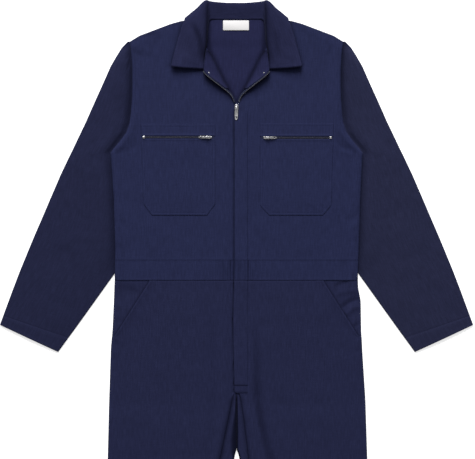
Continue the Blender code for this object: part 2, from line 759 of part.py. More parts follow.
def bail_mesh(name):
    """An arch along Y that starts inside the slider's back and leaves room for the bar of the pull."""
    s = SLIDER
    mesh = bpy.data.meshes.new(name)
    arch = bmesh.new()
    clear = s["bar_height"] + PULL["bar"] / 2 + 0.5
    outer_reach = s["bail_length"] / 2
    outer = bail_arch(outer_reach, clear + s["bail_wall"])
    inner = bail_arch(outer_reach - s["bail_wall"], clear)
    outline = outer + inner[::-1]
    left = -s["bail_width"] / 2 * MM
    ends = [(left, (y - s["bail_back"]) * MM, (s["height"] + z) * MM) for y, z in outline]
    face = arch.faces.new([arch.verts.new(end) for end in ends])
    pushed = bmesh.ops.extrude_face_region(arch, geom=[face])
    side = [v for v in pushed["geom"] if isinstance(v, bmesh.types.BMVert)]
    bmesh.ops.translate(arch, vec=(s["bail_width"] * MM, 0, 0), verts=side)
    bmesh.ops.recalc_face_normals(arch, faces=arch.faces)
    arch.to_mesh(mesh)
    arch.free()
    return mesh


def pull_outlines(length):
    """The tab hangs along -Y from its bar, which is centred on the origin."""
    p = PULL
    bar = p["bar"] / 2
    neck, half, radius = p["neck"] / 2, p["width"] / 2, p["end"] / 2
    side = [(-neck, bar), (-neck, -p["neck_length"]), (-half, -p["flare"]), (-half, p["taper"] - length)]
    round_end = []
    for i in range(9):
        angle = math.pi + math.pi * i / 8
        round_end.append((radius * math.cos(angle), radius - length + radius * math.sin(angle)))
    outline = side + round_end + [(-x, y) for x, y in reversed(side)]
    eye = rectangle(p["eye"] / 2, -bar - p["eye_length"], -bar)
    slot_middle = p["slot_up"] - length
    slot = rectangle(p["slot_width"] / 2, slot_middle - p["slot"] / 2, slot_middle + p["slot"] / 2)
    return [outline, eye, slot]


def rectangle(half_width, low, high):
    return [(-half_width, high), (half_width, high), (half_width, low), (-half_width, low)]


def slider_and_pull(suffix, place, length, droop):
    """The pull hangs from the bail and leans on the cloth by droop degrees."""
    body = new_object("slider_" + suffix, slider_mesh("slider_" + suffix), metal("slider"))
    body.matrix_world = place
    bail = new_object("bail_" + suffix, bail_mesh("bail_" + suffix), metal("slider"))
    bail.matrix_world = place
    join(body, bail)
    pull = plate("pull_" + suffix, pull_outlines(length), PULL["thickness"], metal("pull"))
    bar_up = SLIDER["height"] + SLIDER["bar_height"]
    bar = Matrix.Translation((0, -SLIDER["bail_back"] * MM, bar_up * MM))
    pull.matrix_world = place @ bar @ Matrix.Rotation(math.radians(droop), 4, "X")


def build_sliders():
    """The main slider faces the neck, and the pocket sliders face the middle of the suit."""
    main = Matrix.Translation(world(0.0, 228.0, 6.9)) @ Matrix.Rotation(math.radians(-1.5), 4, "Z")
    slider_and_pull("main", main, PULL["length"], 9)
    pocket_foot = FRONT_PLATEAU_TOP + GAP + TAPE_THICKNESS + GAP
    narrower = Matrix.Diagonal((POCKET_SLIDER_WIDTH, 1, 1, 1))
    for side, pocket in POCKETS.items():
        sign = -1 if side == "right" else 1
        at_slit = Matrix.Translation(world(sign * pocket["slider"], pocket["slit"], pocket_foot))
        place = at_slit @ Matrix.Rotation(math.radians(sign * 90), 4, "Z") @ narrower
        slider_and_pull("pocket_" + side, place, PULL["pocket_length"], 8)


for old in list(bpy.data.objects):
    bpy.data.objects.remove(old, do_unlink=True)
parts = bpy.data.collections.new("boiler_suit")
cutters = bpy.data.collections.new("cutters")
bpy.context.scene.collection.children.link(parts)
bpy.context.scene.collection.children.link(cutters)

build_backs()
build_trouser_backs()
build_sleeves()
build_fronts()
build_pocket_facings()
build_trouser_fronts()
build_closed_zip()
build_lapels()
build_collar()
build_label()
build_chest_pockets()
build_pocket_zips()
build_open_zip()
build_sliders()
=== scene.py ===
# Navy boiler suit laid flat on its back: the looks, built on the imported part.
# Metres, +Z up out of the front, neck towards +Y. Tables are in millimetres, and
# "down" is the distance below the collar's top edge.
import math

import bmesh
import bpy
import numpy as np
from mathutils import Matrix, Vector

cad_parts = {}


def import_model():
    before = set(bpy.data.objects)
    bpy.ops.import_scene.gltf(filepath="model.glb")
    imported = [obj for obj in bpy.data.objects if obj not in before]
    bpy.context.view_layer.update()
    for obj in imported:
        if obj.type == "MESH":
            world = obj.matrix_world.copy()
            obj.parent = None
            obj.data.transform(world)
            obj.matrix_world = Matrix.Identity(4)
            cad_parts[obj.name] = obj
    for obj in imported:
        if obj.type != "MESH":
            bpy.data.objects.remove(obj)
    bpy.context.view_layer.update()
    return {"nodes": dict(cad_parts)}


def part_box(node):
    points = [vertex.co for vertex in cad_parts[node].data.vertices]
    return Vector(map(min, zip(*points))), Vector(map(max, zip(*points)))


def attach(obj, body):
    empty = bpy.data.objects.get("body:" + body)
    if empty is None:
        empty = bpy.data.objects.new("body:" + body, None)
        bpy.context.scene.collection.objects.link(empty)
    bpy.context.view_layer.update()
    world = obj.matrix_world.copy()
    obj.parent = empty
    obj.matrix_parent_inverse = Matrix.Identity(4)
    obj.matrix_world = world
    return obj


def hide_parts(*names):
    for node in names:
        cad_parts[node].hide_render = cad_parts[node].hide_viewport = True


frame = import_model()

print("frame loaded:", len(frame["nodes"]), "nodes")

mm = 0.001
suit = {
    "length": 1586.0,       # collar top to hem
    "wall": 0.9,            # thickness of the cloth as shown
    "layerStep": 1.5,       # from the middle of one layer to the next
    "floorLevel": 0.6,      # middle of the layer that touches the ground
    "touching": 0.95,       # middle to middle where two layers lie together
    "waistTop": 556.0,
    "waistBottom": 599.0,
    "crotch": 840.0,
    "armpit": 326.0,
    "hem": 25.0,            # turned up at the end of a leg
    "shoulderSlope": 0.943,     # from a distance down to one square to the shoulder's edge
    "slantSlope": 0.845,        # the same for the edge of the hip pocket
}
bothSides = ("right", "left")
signOf = {"right": -1, "left": 1}


# camera, light and floor come first

stage = {
    "lens": 100.0, "sensor": 36.0, "viewWidth": 1.0179, "centreOut": 2.1, "centreDown": 489.7,
    "skyStrength": 0.22, "keyPower": 455.0, "keySize": 3.0, "keyPlace": (-0.45, 5.2, 3.0),
    "fillPower": 17.0, "fillSize": 2.5, "fillPlace": (0.0, -1.8, 3.2),
    "floorSize": 30.0, "floorGlow": 0.55,
}


def world(out, down, up):
    return Vector((out * mm, (suit["length"] / 2 - down) * mm, up * mm))


def makeCamera():
    cameraData = bpy.data.cameras.new("camera")
    cameraData.lens = stage["lens"]
    cameraData.sensor_width = stage["sensor"]
    camera = bpy.data.objects.new("camera", cameraData)
    bpy.context.scene.collection.objects.link(camera)
    distance = stage["viewWidth"] * stage["lens"] / stage["sensor"]
    camera.location = world(stage["centreOut"], stage["centreDown"], 0) + Vector((0, 0, distance))
    bpy.context.scene.camera = camera


def makeLamp(name, place, size, power):
    lampData = bpy.data.lights.new(name, "AREA")
    lampData.size = size
    lampData.energy = power
    lamp = bpy.data.objects.new(name, lampData)
    bpy.context.scene.collection.objects.link(lamp)
    lamp.location = place
    target = world(0, 450, 0)
    lamp.rotation_mode = "QUATERNION"
    lamp.rotation_quaternion = (target - Vector(place)).to_track_quat("-Z", "Y")
    lamp.visible_camera = False


def makeSky():
    sky = bpy.data.worlds.new("soft studio")
    sky.use_nodes = True
    background = sky.node_tree.nodes["Background"]
    background.inputs["Color"].default_value = (1.0, 1.0, 1.0, 1.0)
    background.inputs["Strength"].default_value = stage["skyStrength"]
    bpy.context.scene.world = sky
    bpy.context.scene.view_settings.view_transform = "Standard"


# materials: a socket wrapper for maths, and one method for every other node

class Wire:
    def __init__(self, recipe, socket):
        self.recipe = recipe
        self.socket = socket

    def __add__(self, other):
        return self.recipe.maths("ADD", self, other)

    __radd__ = __add__

    def __sub__(self, other):
        return self.recipe.maths("SUBTRACT", self, other)

    def __rsub__(self, other):
        return self.recipe.maths("SUBTRACT", other, self)

    def __mul__(self, other):
        return self.recipe.maths("MULTIPLY", self, other)

    __rmul__ = __mul__


class Recipe:
    def __init__(self, name, roughness, metallic=0.0):
        self.material = bpy.data.materials.new(name)
        self.material.use_nodes = True
        self.tree = self.material.node_tree
        self.shader = self.tree.nodes["Principled BSDF"]
        self.shader.inputs["Roughness"].default_value = roughness
        self.shader.inputs["Metallic"].default_value = metallic

    def plug(self, socket, value):
        if isinstance(value, Wire):
            self.tree.links.new(value.socket, socket)
        elif isinstance(value, (tuple, list)) and len(value) == 3 and socket.type == "RGBA":
            socket.default_value = (*value, 1.0)
        else:
            socket.default_value = value

    def node(self, kind, settings, values, output=0):
        made = self.tree.nodes.new(kind)
        for key, value in settings.items():
            if key == "stops":
                ramp = made.color_ramp
                for stop, (place, shade) in zip((ramp.elements[0], ramp.elements[1]), value):
                    stop.position = place
                    stop.color = (*shade, 1.0)
                for place, shade in value[2:]:
                    ramp.elements.new(place).color = (*shade, 1.0)
            else:
                setattr(made, key, value)
        for key, value in values.items():
            self.plug(made.inputs[key], value)
        return Wire(self, made.outputs[output])

    def maths(self, operation, *terms):
        places = dict(enumerate(terms))
        return self.node("ShaderNodeMath", {"operation": operation}, places)

    def clamp(self, value):
        return self.node("ShaderNodeClamp", {}, {"Value": value, "Min": 0.0, "Max": 1.0})

    def mixColours(self, share, first, second, how="MIX"):
        settings = {"data_type": "RGBA", "blend_type": how}
        return self.node("ShaderNodeMix", settings, {0: share, 6: first, 7: second}, 2)

    def grain(self):
        return self.node("ShaderNodeUVMap", {"uv_map": "grain"}, {})

    def place(self):
        return self.node("ShaderNodeTexCoord", {}, {}, 3)

    def stretched(self, coordinates, scale):
        return self.node("ShaderNodeMapping", {}, {"Vector": coordinates, "Scale": scale})

    def noise(self, coordinates, scale, detail=2.0, roughness=0.5):
        values = {"Vector": coordinates, "Scale": scale, "Detail": detail, "Roughness": roughness}
        return self.node("ShaderNodeTexNoise", {}, values)

    def bump(self, height, strength, distance, below=None):
        values = {"Height": height, "Strength": strength, "Distance": distance}
        if below:
            values["Normal"] = below
        return self.node("ShaderNodeBump", {}, values)

    def shade(self, values):
        for key, value in values.items():
            self.plug(self.shader.inputs[key], value)
        return self.material


clothLook = {
    "navy": (0.0188, 0.0231, 0.0682),
    "pale": (0.0258, 0.0318, 0.0902),    # worn high threads
    "dark": (0.0141, 0.0173, 0.0512),    # between the threads
    "hollow": (0.0010, 0.0014, 0.0080),  # painted shade mixed in down in seams and under edges
    "twillPitch": 0.0011,
    "streakWidth": 0.0024,
}


def twillCloth(name, paintedLightScale):
    # Twill on the cut's own coordinates: the grain runs along V.
    recipe = Recipe(name, 0.82)
    uv = recipe.grain()
    parts = recipe.tree.nodes.new("ShaderNodeSeparateXYZ")
    recipe.plug(parts.inputs[0], uv)
    crosswise, lengthwise = Wire(recipe, parts.outputs[0]), Wire(recipe, parts.outputs[1])
    turns = 2 * math.pi / clothLook["twillPitch"]
    wobble = recipe.noise(uv, 900.0, 1.0)
    ribs = recipe.maths("SINE", (crosswise + lengthwise * 0.9) * turns + wobble * 2.2) * 0.5 + 0.5
    warp = recipe.maths("SINE", crosswise * (turns * 1.7)) * 0.5 + 0.5
    streakScale = 1.0 / clothLook["streakWidth"]
    streaks = recipe.noise(recipe.stretched(uv, (1.0, 0.10, 1.0)), streakScale, 3.0, 0.62)
    picks = recipe.noise(recipe.stretched(uv, (0.16, 1.0, 1.0)), streakScale, 2.0, 0.6)
    mottle = recipe.noise(uv, 26.0, 3.0, 0.55)
    seam = recipe.node("ShaderNodeAttribute", {"attribute_name": "seam"}, {}, 2)
    speck = recipe.noise(uv, 1500.0, 1.0)
    tone = (streaks - 0.5) * 1.5 + (picks - 0.5) * 0.55 + (mottle - 0.5) * 0.35 + (speck - 0.5) * 0.35
    tone = recipe.clamp(tone + (ribs - 0.5) * 0.16 + seam * 0.10 + 0.46)
    # Colours scaled per part: painted light and shade.
    low, middle, high = (
        tuple(c * lot for c, lot in zip(clothLook[key], paintedLightScale)) for key in ("dark", "navy", "pale")
    )
    stops = [(0.0, low), (1.0, high), (0.5, middle)]
    colour = recipe.node("ShaderNodeValToRGB", {"stops": stops}, {"Fac": tone})
    # Painted shade: each sheet's shade attribute mixes the colour towards deep navy in seams, folds and
    # under edges.
    shadeShare = recipe.node("ShaderNodeAttribute", {"attribute_name": "hollow"}, {}, 2)
    colour = recipe.mixColours(shadeShare, colour, clothLook["hollow"])
    weave = recipe.bump(ribs * 0.6 + warp * 0.25 + speck * 0.5, 0.35, 0.00012)
    slubs = recipe.bump(streaks * 0.7 + picks * 0.3, 0.30, 0.00035, weave)
    puckers = recipe.noise(recipe.stretched(uv, (1.0, 0.6, 1.0)), 120.0, 2.0)
    soft = recipe.bump(puckers * (0.10 + seam * 0.9) + mottle * 0.4, 0.45, 0.0007, slubs)
    sheen = {"Sheen Weight": 0.05, "Sheen Roughness": 0.45, "Sheen Tint": (0.55, 0.60, 0.85)}
    varied = {"Base Color": colour, "Roughness": 0.76 + streaks * 0.16, "Normal": soft}
    return recipe.shade({**sheen, "Specular IOR Level": 0.06, **varied})


def polishedZipMetal():
    recipe = Recipe("zip metal", 0.24, 1.0)
    place = recipe.place()
    scuffs = recipe.noise(recipe.stretched(place, (1.0, 0.12, 1.0)), 1800.0, 3.0)
    tarnish = recipe.noise(place, 260.0, 3.0)
    colour = recipe.mixColours(tarnish, (0.58, 0.58, 0.59), (0.82, 0.82, 0.83))
    rough = 0.16 + scuffs * 0.16 + tarnish * 0.10
    fine = recipe.bump(scuffs, 0.12, 0.00006)
    return recipe.shade({"Base Color": colour, "Roughness": rough, "Normal": fine})


def flecked(name, roughness, colours, scale, detail=2.0, stretch=None, raised=None, others=None):
    # Two colours mixed by fine noise, which may be drawn out along the piece and raised.
    recipe = Recipe(name, roughness)
    place = recipe.stretched(recipe.place(), stretch) if stretch else recipe.place()
    flecks = recipe.noise(place, scale, detail)
    values = {"Base Color": recipe.mixColours(flecks, *colours), **(others or {})}
    if raised:
        values["Normal"] = recipe.bump(flecks, *raised)
    return recipe.shade(values)


def zipCoil(name, colours):
    recipe = Recipe(name, 0.38)
    wear = recipe.noise(recipe.place(), 700.0, 2.0)
    mixed = recipe.mixColours(wear, *colours)
    return recipe.shade({"Base Color": mixed, "Roughness": 0.30 + wear * 0.25})


makeCamera()
makeSky()
makeLamp("key", stage["keyPlace"], stage["keySize"], stage["keyPower"])
makeLamp("fill", stage["fillPlace"], stage["fillSize"], stage["fillPower"])
# Painted light and shade: the same twill copied per part with its colours scaled, so the trousers,
# sleeves, collar and inside come out darker than the body.
bodyNavy = twillCloth("navy twill", (0.975, 0.97, 0.975))
insideNavy = twillCloth("navy twill inside", (0.88, 0.785, 0.85))
trouserNavy = twillCloth("navy twill trousers", (0.925, 0.88, 0.86))
sleeveNavy = {
    "right": twillCloth("navy twill right sleeve", (0.84, 0.78, 0.73)),
    "left": twillCloth("navy twill left sleeve", (0.99, 0.905, 0.78)),
}
collarNavy = twillCloth("navy twill collar", (0.825, 0.75, 0.75))
threadColours = ((0.009, 0.011, 0.034), (0.019, 0.023, 0.066))
thread = flecked("navy thread", 0.9, threadColours, 2200.0, 1.0, others={"Specular IOR Level": 0.05})
tapeLook = flecked(
    "zip tape", 0.85, ((0.008, 0.010, 0.024), (0.028, 0.033, 0.070)), 1500.0, stretch=(1.0, 0.35, 1.0),
    raised=(0.4, 0.0002), others={"Specular IOR Level": 0.1},
)
coilLook = zipCoil("zip coil", ((0.095, 0.095, 0.110), (0.240, 0.240, 0.260)))
pocketCoilLook = zipCoil("pocket zip coil", ((0.012, 0.012, 0.021), (0.034, 0.034, 0.050)))
metalLook = polishedZipMetal()
labelLook = flecked(
    "label satin", 0.55, ((0.70, 0.685, 0.69), (0.82, 0.81, 0.815)), 1600.0, stretch=(0.15, 1.0, 1.0),
    raised=(0.25, 0.0001),
)
floorGlow = {"Emission Strength": stage["floorGlow"], "Emission Color": (1.0, 1.0, 1.0)}
floorLook = flecked(
    "pale floor", 0.9, ((0.93, 0.93, 0.93), (0.96, 0.96, 0.96)), 3.0,
    others={"Specular IOR Level": 0.1, **floorGlow},
)

floorMesh = bmesh.new()
bmesh.ops.create_grid(floorMesh, x_segments=1, y_segments=1, size=stage["floorSize"] / 2)
floorData = bpy.data.meshes.new("floor")
floorMesh.to_mesh(floorData)
floorMesh.free()
floorData.materials.append(floorLook)
floor = bpy.data.objects.new("floor", floorData)
bpy.context.scene.collection.objects.link(floor)
print("camera, light, floor and materials ready")


# the suit's tables, in millimetres from its middle line and its collar's top

class Sections:
    # Rows of numbers under named columns, read between the rows by the first column.
    def __init__(self, columns, rows):
        self.names = columns.split()
        self.rows = np.array(rows, float)

    def at(self, name, place):
        return np.interp(place, self.rows[:, 0], self.rows[:, self.names.index(name)])


shoulder = Sections("out down", [(63, 33), (100, 41), (120, 44), (142, 50), (208, 75), (229, 88)])
armhole = Sections("down out", [
    (88, 229), (100, 227), (118, 225), (148, 223), (182, 223), (212, 224), (240, 226), (262, 229),
    (282, 236), (300, 249), (318, 264), (326, 270),
])
sides = Sections("down right left", [
    (326, 270, 270.5), (345, 268, 269), (427, 262.5, 264.7), (534, 259.5, 261.4), (590, 260.4, 259.3),
    (615, 261.5, 260.4), (641, 262.5, 265.7), (705, 265.5, 266.8), (748, 269, 269), (847, 272.2, 275.4),
    (981, 275.5, 279.7), (1080, 279, 283), (1200, 283, 287), (1400, 289, 292), (1586, 293, 295),
])
legs = Sections("down foldRight seamRight foldLeft seamLeft roll", [
    (599, 0.3, 2.3, 0.3, 2.3, 0.45), (834, 0.3, 2.3, 0.3, 2.3, 0.45), (840, 0.42, 4.3, 0.42, 5.4, 0.75),
    (846, 0.42, 8.0, 0.42, 7.5, 1.1), (870, 0.42, 12.5, 0.42, 11.5, 1.9), (898, 0.42, 18, 0.42, 16, 2.4),
    (940, 0.42, 27, 0.42, 21, 2.4), (961, 0.42, 30.8, 0.42, 23.5, 2.4), (966, 2.5, 31.9, 3.0, 24.2, 2.3),
    (973, 4.0, 33.6, 5.1, 25.0, 2.2), (981, 5.5, 35.4, 6.7, 26, 2.2), (1080, 15, 46, 15, 38, 1.6),
    (1200, 31, 62, 32, 58, 1.3), (1400, 61, 88, 63, 88, 1.2), (1586, 89, 112, 92, 114, 1.1),
])
plateau = Sections("down level", [
    (0, 5.1), (560, 5.1), (640, 4.9), (720, 4.6), (840, 4.3), (981, 3.9), (1200, 3.7), (1586, 3.4),
])
sleeveUnderBack = Sections("down out", [
    (270, 330), (308, 258), (330, 236), (372, 214), (430, 188), (495, 170), (525, 174), (560, 206),
    (580, 232), (590, 258), (604, 300), (612, 330),
])
neckEdge = Sections("down out", [
    (33, 66), (98, 66.5), (106, 61), (118, 53.5), (132, 47), (148, 39.5), (165, 31), (182, 21.5),
    (196, 14), (212, 6.7),
])
underlap = Sections("down level", [(0, 3.0), (600, 3.0), (720, 2.4), (815, 2.3), (840, 2.1)])
slant = Sections("down out", [(599, 185.5), (718, 261.0)])
lapEdge = Sections("down over under", [
    (222, -4.3, -10), (560, -4.3, -10), (600, -5.0, -10), (680, -7.2, -12), (760, -6.0, -11),
    (823, -4.8, -6), (838, -4.4, 0), (841, 4.6, 3.6),
])
sleeveOutline = Sections("row inner innerDown outer outerDown", [
    (0, 227.2, 87.0, 232.6, 87.6), (1, 226.4, 100, 245, 100.4), (2, 225, 118, 255, 116),
    (3, 223, 148, 269, 140), (4, 223, 182, 284, 174), (5, 224, 212, 298, 205), (6, 226, 240, 311, 234),
    (7, 229, 262, 321, 257), (8, 236, 282, 332, 280), (9, 249, 300, 342, 301), (10, 262.5, 318, 351, 320),
    (11, 264.5, 327, 356, 330), (12, 249, 372, 376, 372), (13, 224, 430, 401, 430),
    (14, 208, 478, 418, 470), (15, 206, 508, 431, 500), (16, 232, 544, 446, 536),
    (17, 268, 594, 464, 580), (18, 306, 647, 480, 622), (19, 344, 700, 494, 660),
    (20, 382, 752, 506.5, 694),
])
sleeveTuck = Sections("down tuck", [(88, 0.3), (100, 0.4), (118, 3), (262, 3), (282, 1.0), (326, 0.8)])
collarColumns = (
    "row seam seamDown seamUp roll rollDown rollUp "
    "belly bellyDown bellyUp edge edgeDown edgeUp"
)
collarCut = Sections(collarColumns, [
    (0, 71, 146.5, 7.4, 76, 146.4, 8.8, 108, 144, 10.2, 140, 140.5, 10.8),
    (1, 69, 127, 7.2, 72.5, 126.5, 9.8, 104, 122, 10.4, 134.5, 118, 9.8),
    (2, 66.6, 108, 7.0, 68.5, 106, 11.4, 99, 103, 10.6, 129.5, 99.5, 8.8),
    (3, 63.2, 88, 6.2, 66, 84, 12.2, 96, 85, 10.8, 125.5, 84.5, 8.2),
    (4, 61.5, 68, 5.4, 65.5, 58, 12.8, 93, 63, 10.6, 120.5, 67, 7.6),
    (5, 60, 52, 4.6, 64.5, 34, 12.2, 90, 43, 10.0, 115.5, 52, 7.2),
    (6, 58, 43.5, 3.8, 63.4, 14, 11.2, 87, 28, 8.8, 111.8, 43, 6.6),
    (7, 54, 40.5, 3.0, 61.8, 0.9, 8.4, 86, 17.5, 5.0, 109.6, 36.6, 3.6),
    (8, 48, 40.5, 2.4, 57, 2.4, 7.4, 79, 20, 1.3, 103, 38.2, 0.6),
    (9, 36, 40.5, 2.1, 40, 4.4, 6.8, 58, 28, 0.7, 84, 54, 0.6),
    (10, 18, 40.5, 2.1, 20, 6.0, 6.4, 29, 29, 0.7, 45, 62, 0.6),
    (11, 0, 40.5, 2.1, 0, 6.4, 6.3, 0, 30, 0.7, 0, 66, 0.6),
])
lapelCut = Sections("down outer outerUp roll", [
    (107, 65.4, 7.2, 59.6), (118, 67.0, 7.6, 52.2), (132, 68.6, 8.4, 45.7), (149, 70.4, 10.6, 38.1),
    (156, 64.6, 10.9, 33.9), (165, 54.0, 10.9, 29.5), (174, 42.0, 10.6, 25.0), (182, 31.4, 10.0, 20.2),
    (189, 22.2, 9.2, 16.4),
])
zipHalf = Sections("out down up", [
    (71, 152.5, 11.4), (66, 159, 11.7), (56, 167.6, 11.6), (44, 176.6, 11.2), (32, 185.8, 10.5),
    (21, 194, 9.6), (13, 201.5, 8.9), (8, 209.5, 8.5), (5, 218, 8.3),
])
pockets = {
    "right": {"inner": 45.5, "outer": 204.7, "outerLow": 198.5, "top": 263.6, "slit": 292.5,
              "chamferDown": 435, "bottom": 459.3, "lowInner": 63.2, "lowOuter": 181.0, "slider": 59.0},
    "left": {"inner": 50.0, "outer": 207.5, "outerLow": 202.5, "top": 262.0, "slit": 293.5,
             "chamferDown": 438, "bottom": 459.3, "lowInner": 70.3, "lowOuter": 184.7, "slider": 64.0},
}
pocketMouth = 2.9       # half the opening that shows a pocket's zip
pocketRows = {"edge": 1.4, "inner": 5.4}    # how far in its two rows of stitches are


# folds and creases

# Short ones: from one end to the other, how wide and how high; troughs are below zero.
creaseColumns = "outA downA outB downB bend width height"
foldColumns = "down middle width height"
creases = Sections(creaseColumns, [
    (-197, 68, -160, 84, 2, 9, -1.3), (-229, 97, -200, 121, -2, 5, -1.1),
    (-206, 96, -184, 116, 2, 6, 0.6), (136, 60, 174, 78, -2, 8, -1.0), (206, 96, 190, 118, 2, 6, -0.5),
    (248, 314, 213, 268, 4, 5.5, 1.1), (238, 320, 207, 292, 3, 5, -0.9),
    (238, 264, 219, 236, -2, 5.5, -0.8), (250, 330, 222, 318, 3, 5, 0.7),
    (-250, 318, -219, 284, -4, 6, 0.7), (-243, 326, -216, 306, -2, 5, -0.6),
    (263, 452, 236, 470, 2, 6.5, -0.7), (263, 478, 238, 492, -2, 7, 0.7),
    (262, 504, 244, 517, 2, 6, -0.7), (-262, 470, -240, 484, 2, 7, -0.4),
    (-261, 522, -238, 530, -2, 7, -0.4), (231, 560, 238, 594, 2, 4.5, -0.5),
    (214, 562, 209, 592, -1, 4, -0.35), (246, 562, 250, 590, 1, 4, 0.4),
    (-244, 562, -248, 592, 1, 5, -0.3), (30, 612, 12, 622, 0, 4, -0.5), (22, 606, 40, 609, 0, 3.5, 0.4),
    (-270, 728, -244, 742, 2, 4.5, -0.8), (-270, 744, -247, 757, -2, 4.5, 0.7),
    (-271, 764, -254, 771, 1, 4, -0.5), (270, 738, 250, 752, 2, 5, -0.6),
    (150, 430, 178, 452, 2, 3.5, 0.45), (176, 438, 196, 452, 1, 3, -0.5),
    (-8, 236, -34, 292, 3, 7, -0.35), (10, 240, 40, 286, -3, 8, -0.35), (30, 228, 54, 256, 2, 6, 0.35),
    (-100, 1188, -156, 1214, 5, 9, -1.0), (-96, 1232, -146, 1246, -4, 8, 0.9),
    (-264, 1224, -212, 1202, 4, 9, -0.8), (-268, 1262, -224, 1248, 3, 8, 0.7),
    (98, 1226, 152, 1210, -4, 9, -1.0), (104, 1262, 158, 1256, 4, 8, 0.8),
    (268, 1180, 212, 1200, 5, 9, -0.9), (270, 1218, 226, 1234, -4, 8, 0.7),
    (-150, 1390, -196, 1376, 3, 10, -0.7), (160, 1420, 206, 1404, -3, 10, -0.7),
    (-240, 1500, -206, 1488, 2, 9, -0.6), (236, 1330, 256, 1322, 2, 8, 0.6),
])
# Long ones, down the legs: where the middle is, how wide and how high.
longFolds = [
    Sections(foldColumns, [
        (680, 41, 9, 0), (726, 41.5, 9, -1.1), (790, 42.5, 9, -2.3), (849, 44, 9, -2.9),
        (898, 52, 9, -3.0), (941, 61, 9.5, -2.9), (981, 74, 10, -2.6), (1060, 92, 12, -1.5),
        (1160, 112, 14, -0.9), (1300, 132, 16, 0),
    ]),
    Sections(foldColumns, [
        (690, 27, 8, 0), (800, 28, 8, 0.9), (870, 30, 9, 1.5), (941, 43, 9, 1.5), (981, 54, 9, 1.3),
        (1060, 72, 12, 1.1), (1200, 100, 14, 0),
    ]),
    Sections(foldColumns, [
        (670, -50, 9, 0), (740, -50, 9, -0.6), (850, -49, 9, -0.8), (940, -60, 10, -0.8),
        (1060, -84, 12, -0.7), (1200, -104, 14, 0),
    ]),
    Sections(foldColumns, [
        (700, -30, 9, 0), (800, -30, 9, 0.5), (900, -36, 9, 0.7), (981, -56, 10, 0.6), (1130, -78, 12, 0),
    ]),
    Sections(foldColumns, [
        (980, -196, 18, 0), (1110, -192, 18, 0.8), (1300, -200, 20, 0.9), (1520, -206, 20, 0),
    ]),
    Sections(foldColumns, [
        (1010, 200, 18, 0), (1150, 196, 18, 0.8), (1340, 205, 20, 0.8), (1560, 208, 20, 0),
    ]),
]
# The same short kind on the sleeves.
sleeveCreases = Sections(creaseColumns, [
    (237, 112, 238, 192, 0, 3.6, -1.3), (232, 112, 230.5, 196, 0, 2.4, 0.5),
    (243, 118, 247, 178, 0, 4, 0.5), (-228, 110, -237, 128, 1, 2.6, -1.0),
    (-232, 118, -236, 140, 0, 2.4, 0.6), (-229, 128, -234, 152, 0, 2.2, -0.8),
    (-262, 118, -252, 140, 0, 5, 0.5), (-286, 344, -334, 316, 5, 9, -0.6),
    (-300, 372, -352, 344, 4, 9, 0.5), (284, 340, 330, 318, -5, 9, -0.6),
    (300, 366, 356, 350, -4, 9, 0.5), (-300, 474, -352, 450, 5, 10, -0.6),
    (-292, 512, -352, 496, 4, 10, 0.6), (-330, 548, -384, 532, 3, 9, -0.5),
    (296, 470, 350, 448, -5, 10, -0.6), (300, 508, 358, 490, -4, 10, 0.6),
    (336, 556, 392, 540, -4, 9, -0.5), (396, 430, 360, 410, 3, 10, 0.5),
    (-398, 436, -366, 420, 3, 10, 0.5), (-372, 650, -420, 624, 4, 9, -0.4),
    (372, 644, 424, 622, 4, 9, -0.4), (452, 610, 420, 590, 3, 10, 0.4),
    (-452, 604, -424, 588, 3, 10, 0.4),
])
# And on the collar's wings.
collarCreases = Sections(creaseColumns, [
    (-92, 54, -73, 130, 5, 6.5, -3.0), (-106, 60, -92, 122, 3, 7, 1.4), (-120, 116, -84, 136, 0, 7, 0.9),
    (-78, 60, -68, 104, 1, 4, 0.9), (84, 70, 90, 128, 2, 6, -1.5), (112, 50, 122, 108, -2, 7, 1.1),
    (100, 120, 128, 132, 0, 7, -0.7), (74, 40, 78, 96, 1, 5, -0.8),
])


def smooth(t):
    t = np.clip(t, 0.0, 1.0)
    return t * t * (3 - 2 * t)


def rise(place, start, width):
    return smooth((place - start) / width)


def fall(place, end, width):
    return smooth((end - place) / width)


def easeOut(t):
    t = np.clip(t, 0.0, 1.0)
    return 1 - (1 - t) ** 2


def blend(a, b, t):
    return a + (b - a) * t


def bell(distance, width, power=2):
    return np.exp(-((distance / width) ** power))


def shortCreases(table, out, down):
    total = np.zeros(np.broadcast(out, down).shape)
    for outA, downA, outB, downB, bend, width, height in table.rows:
        alongX, alongY = outB - outA, downB - downA
        length = math.hypot(alongX, alongY)
        t = ((out - outA) * alongX + (down - downA) * alongY) / length**2
        aside = ((out - outA) * alongY - (down - downA) * alongX) / length
        inside = np.clip(t, 0, 1)
        aside = aside - bend * np.sin(math.pi * inside)
        ends = rise(t, -0.15, 0.4) * fall(t, 1.15, 0.4)
        total += height * ends * bell(aside, width)
    return total


def undulation(out, down, seed, height, shortest=70.0):
    # Soft uneven rise and fall of cloth that has been smoothed out by hand.
    chance = np.random.default_rng(seed)
    total = np.zeros(np.broadcast(out, down).shape)
    for _ in range(9):
        length = shortest * (1 + 1.6 * chance.random())
        turn = chance.random() * math.pi
        start = chance.random() * 2 * math.pi
        wave = (out * math.cos(turn) + down * math.sin(turn)) * 2 * math.pi / length + start
        total += np.sin(wave) * (0.5 + 0.5 * chance.random())
    return height * total / 3


def relief(out, down):
    total = shortCreases(creases, out, down) + undulation(out, down, 11, 0.22)
    for fold in longFolds:
        aside = (out - fold.at("middle", down)) / fold.at("width", down)
        total = total + fold.at("height", down) * bell(aside, 1.0)
    return total


# how high each layer lies

def backLevel(out, down):
    out = np.abs(out)
    overSleeve = smooth((out - sleeveUnderBack.at("out", down) + 30) / 30)
    overCollar = fall(down, 104, 24) * fall(out, 150, 24)
    lift = np.maximum(2 * suit["layerStep"] * overSleeve, suit["layerStep"] * overCollar)
    return suit["floorLevel"] + lift


def bodyEdge(side, down):
    return np.where(down < suit["armpit"], armhole.at("out", down), sides.at(side, down))


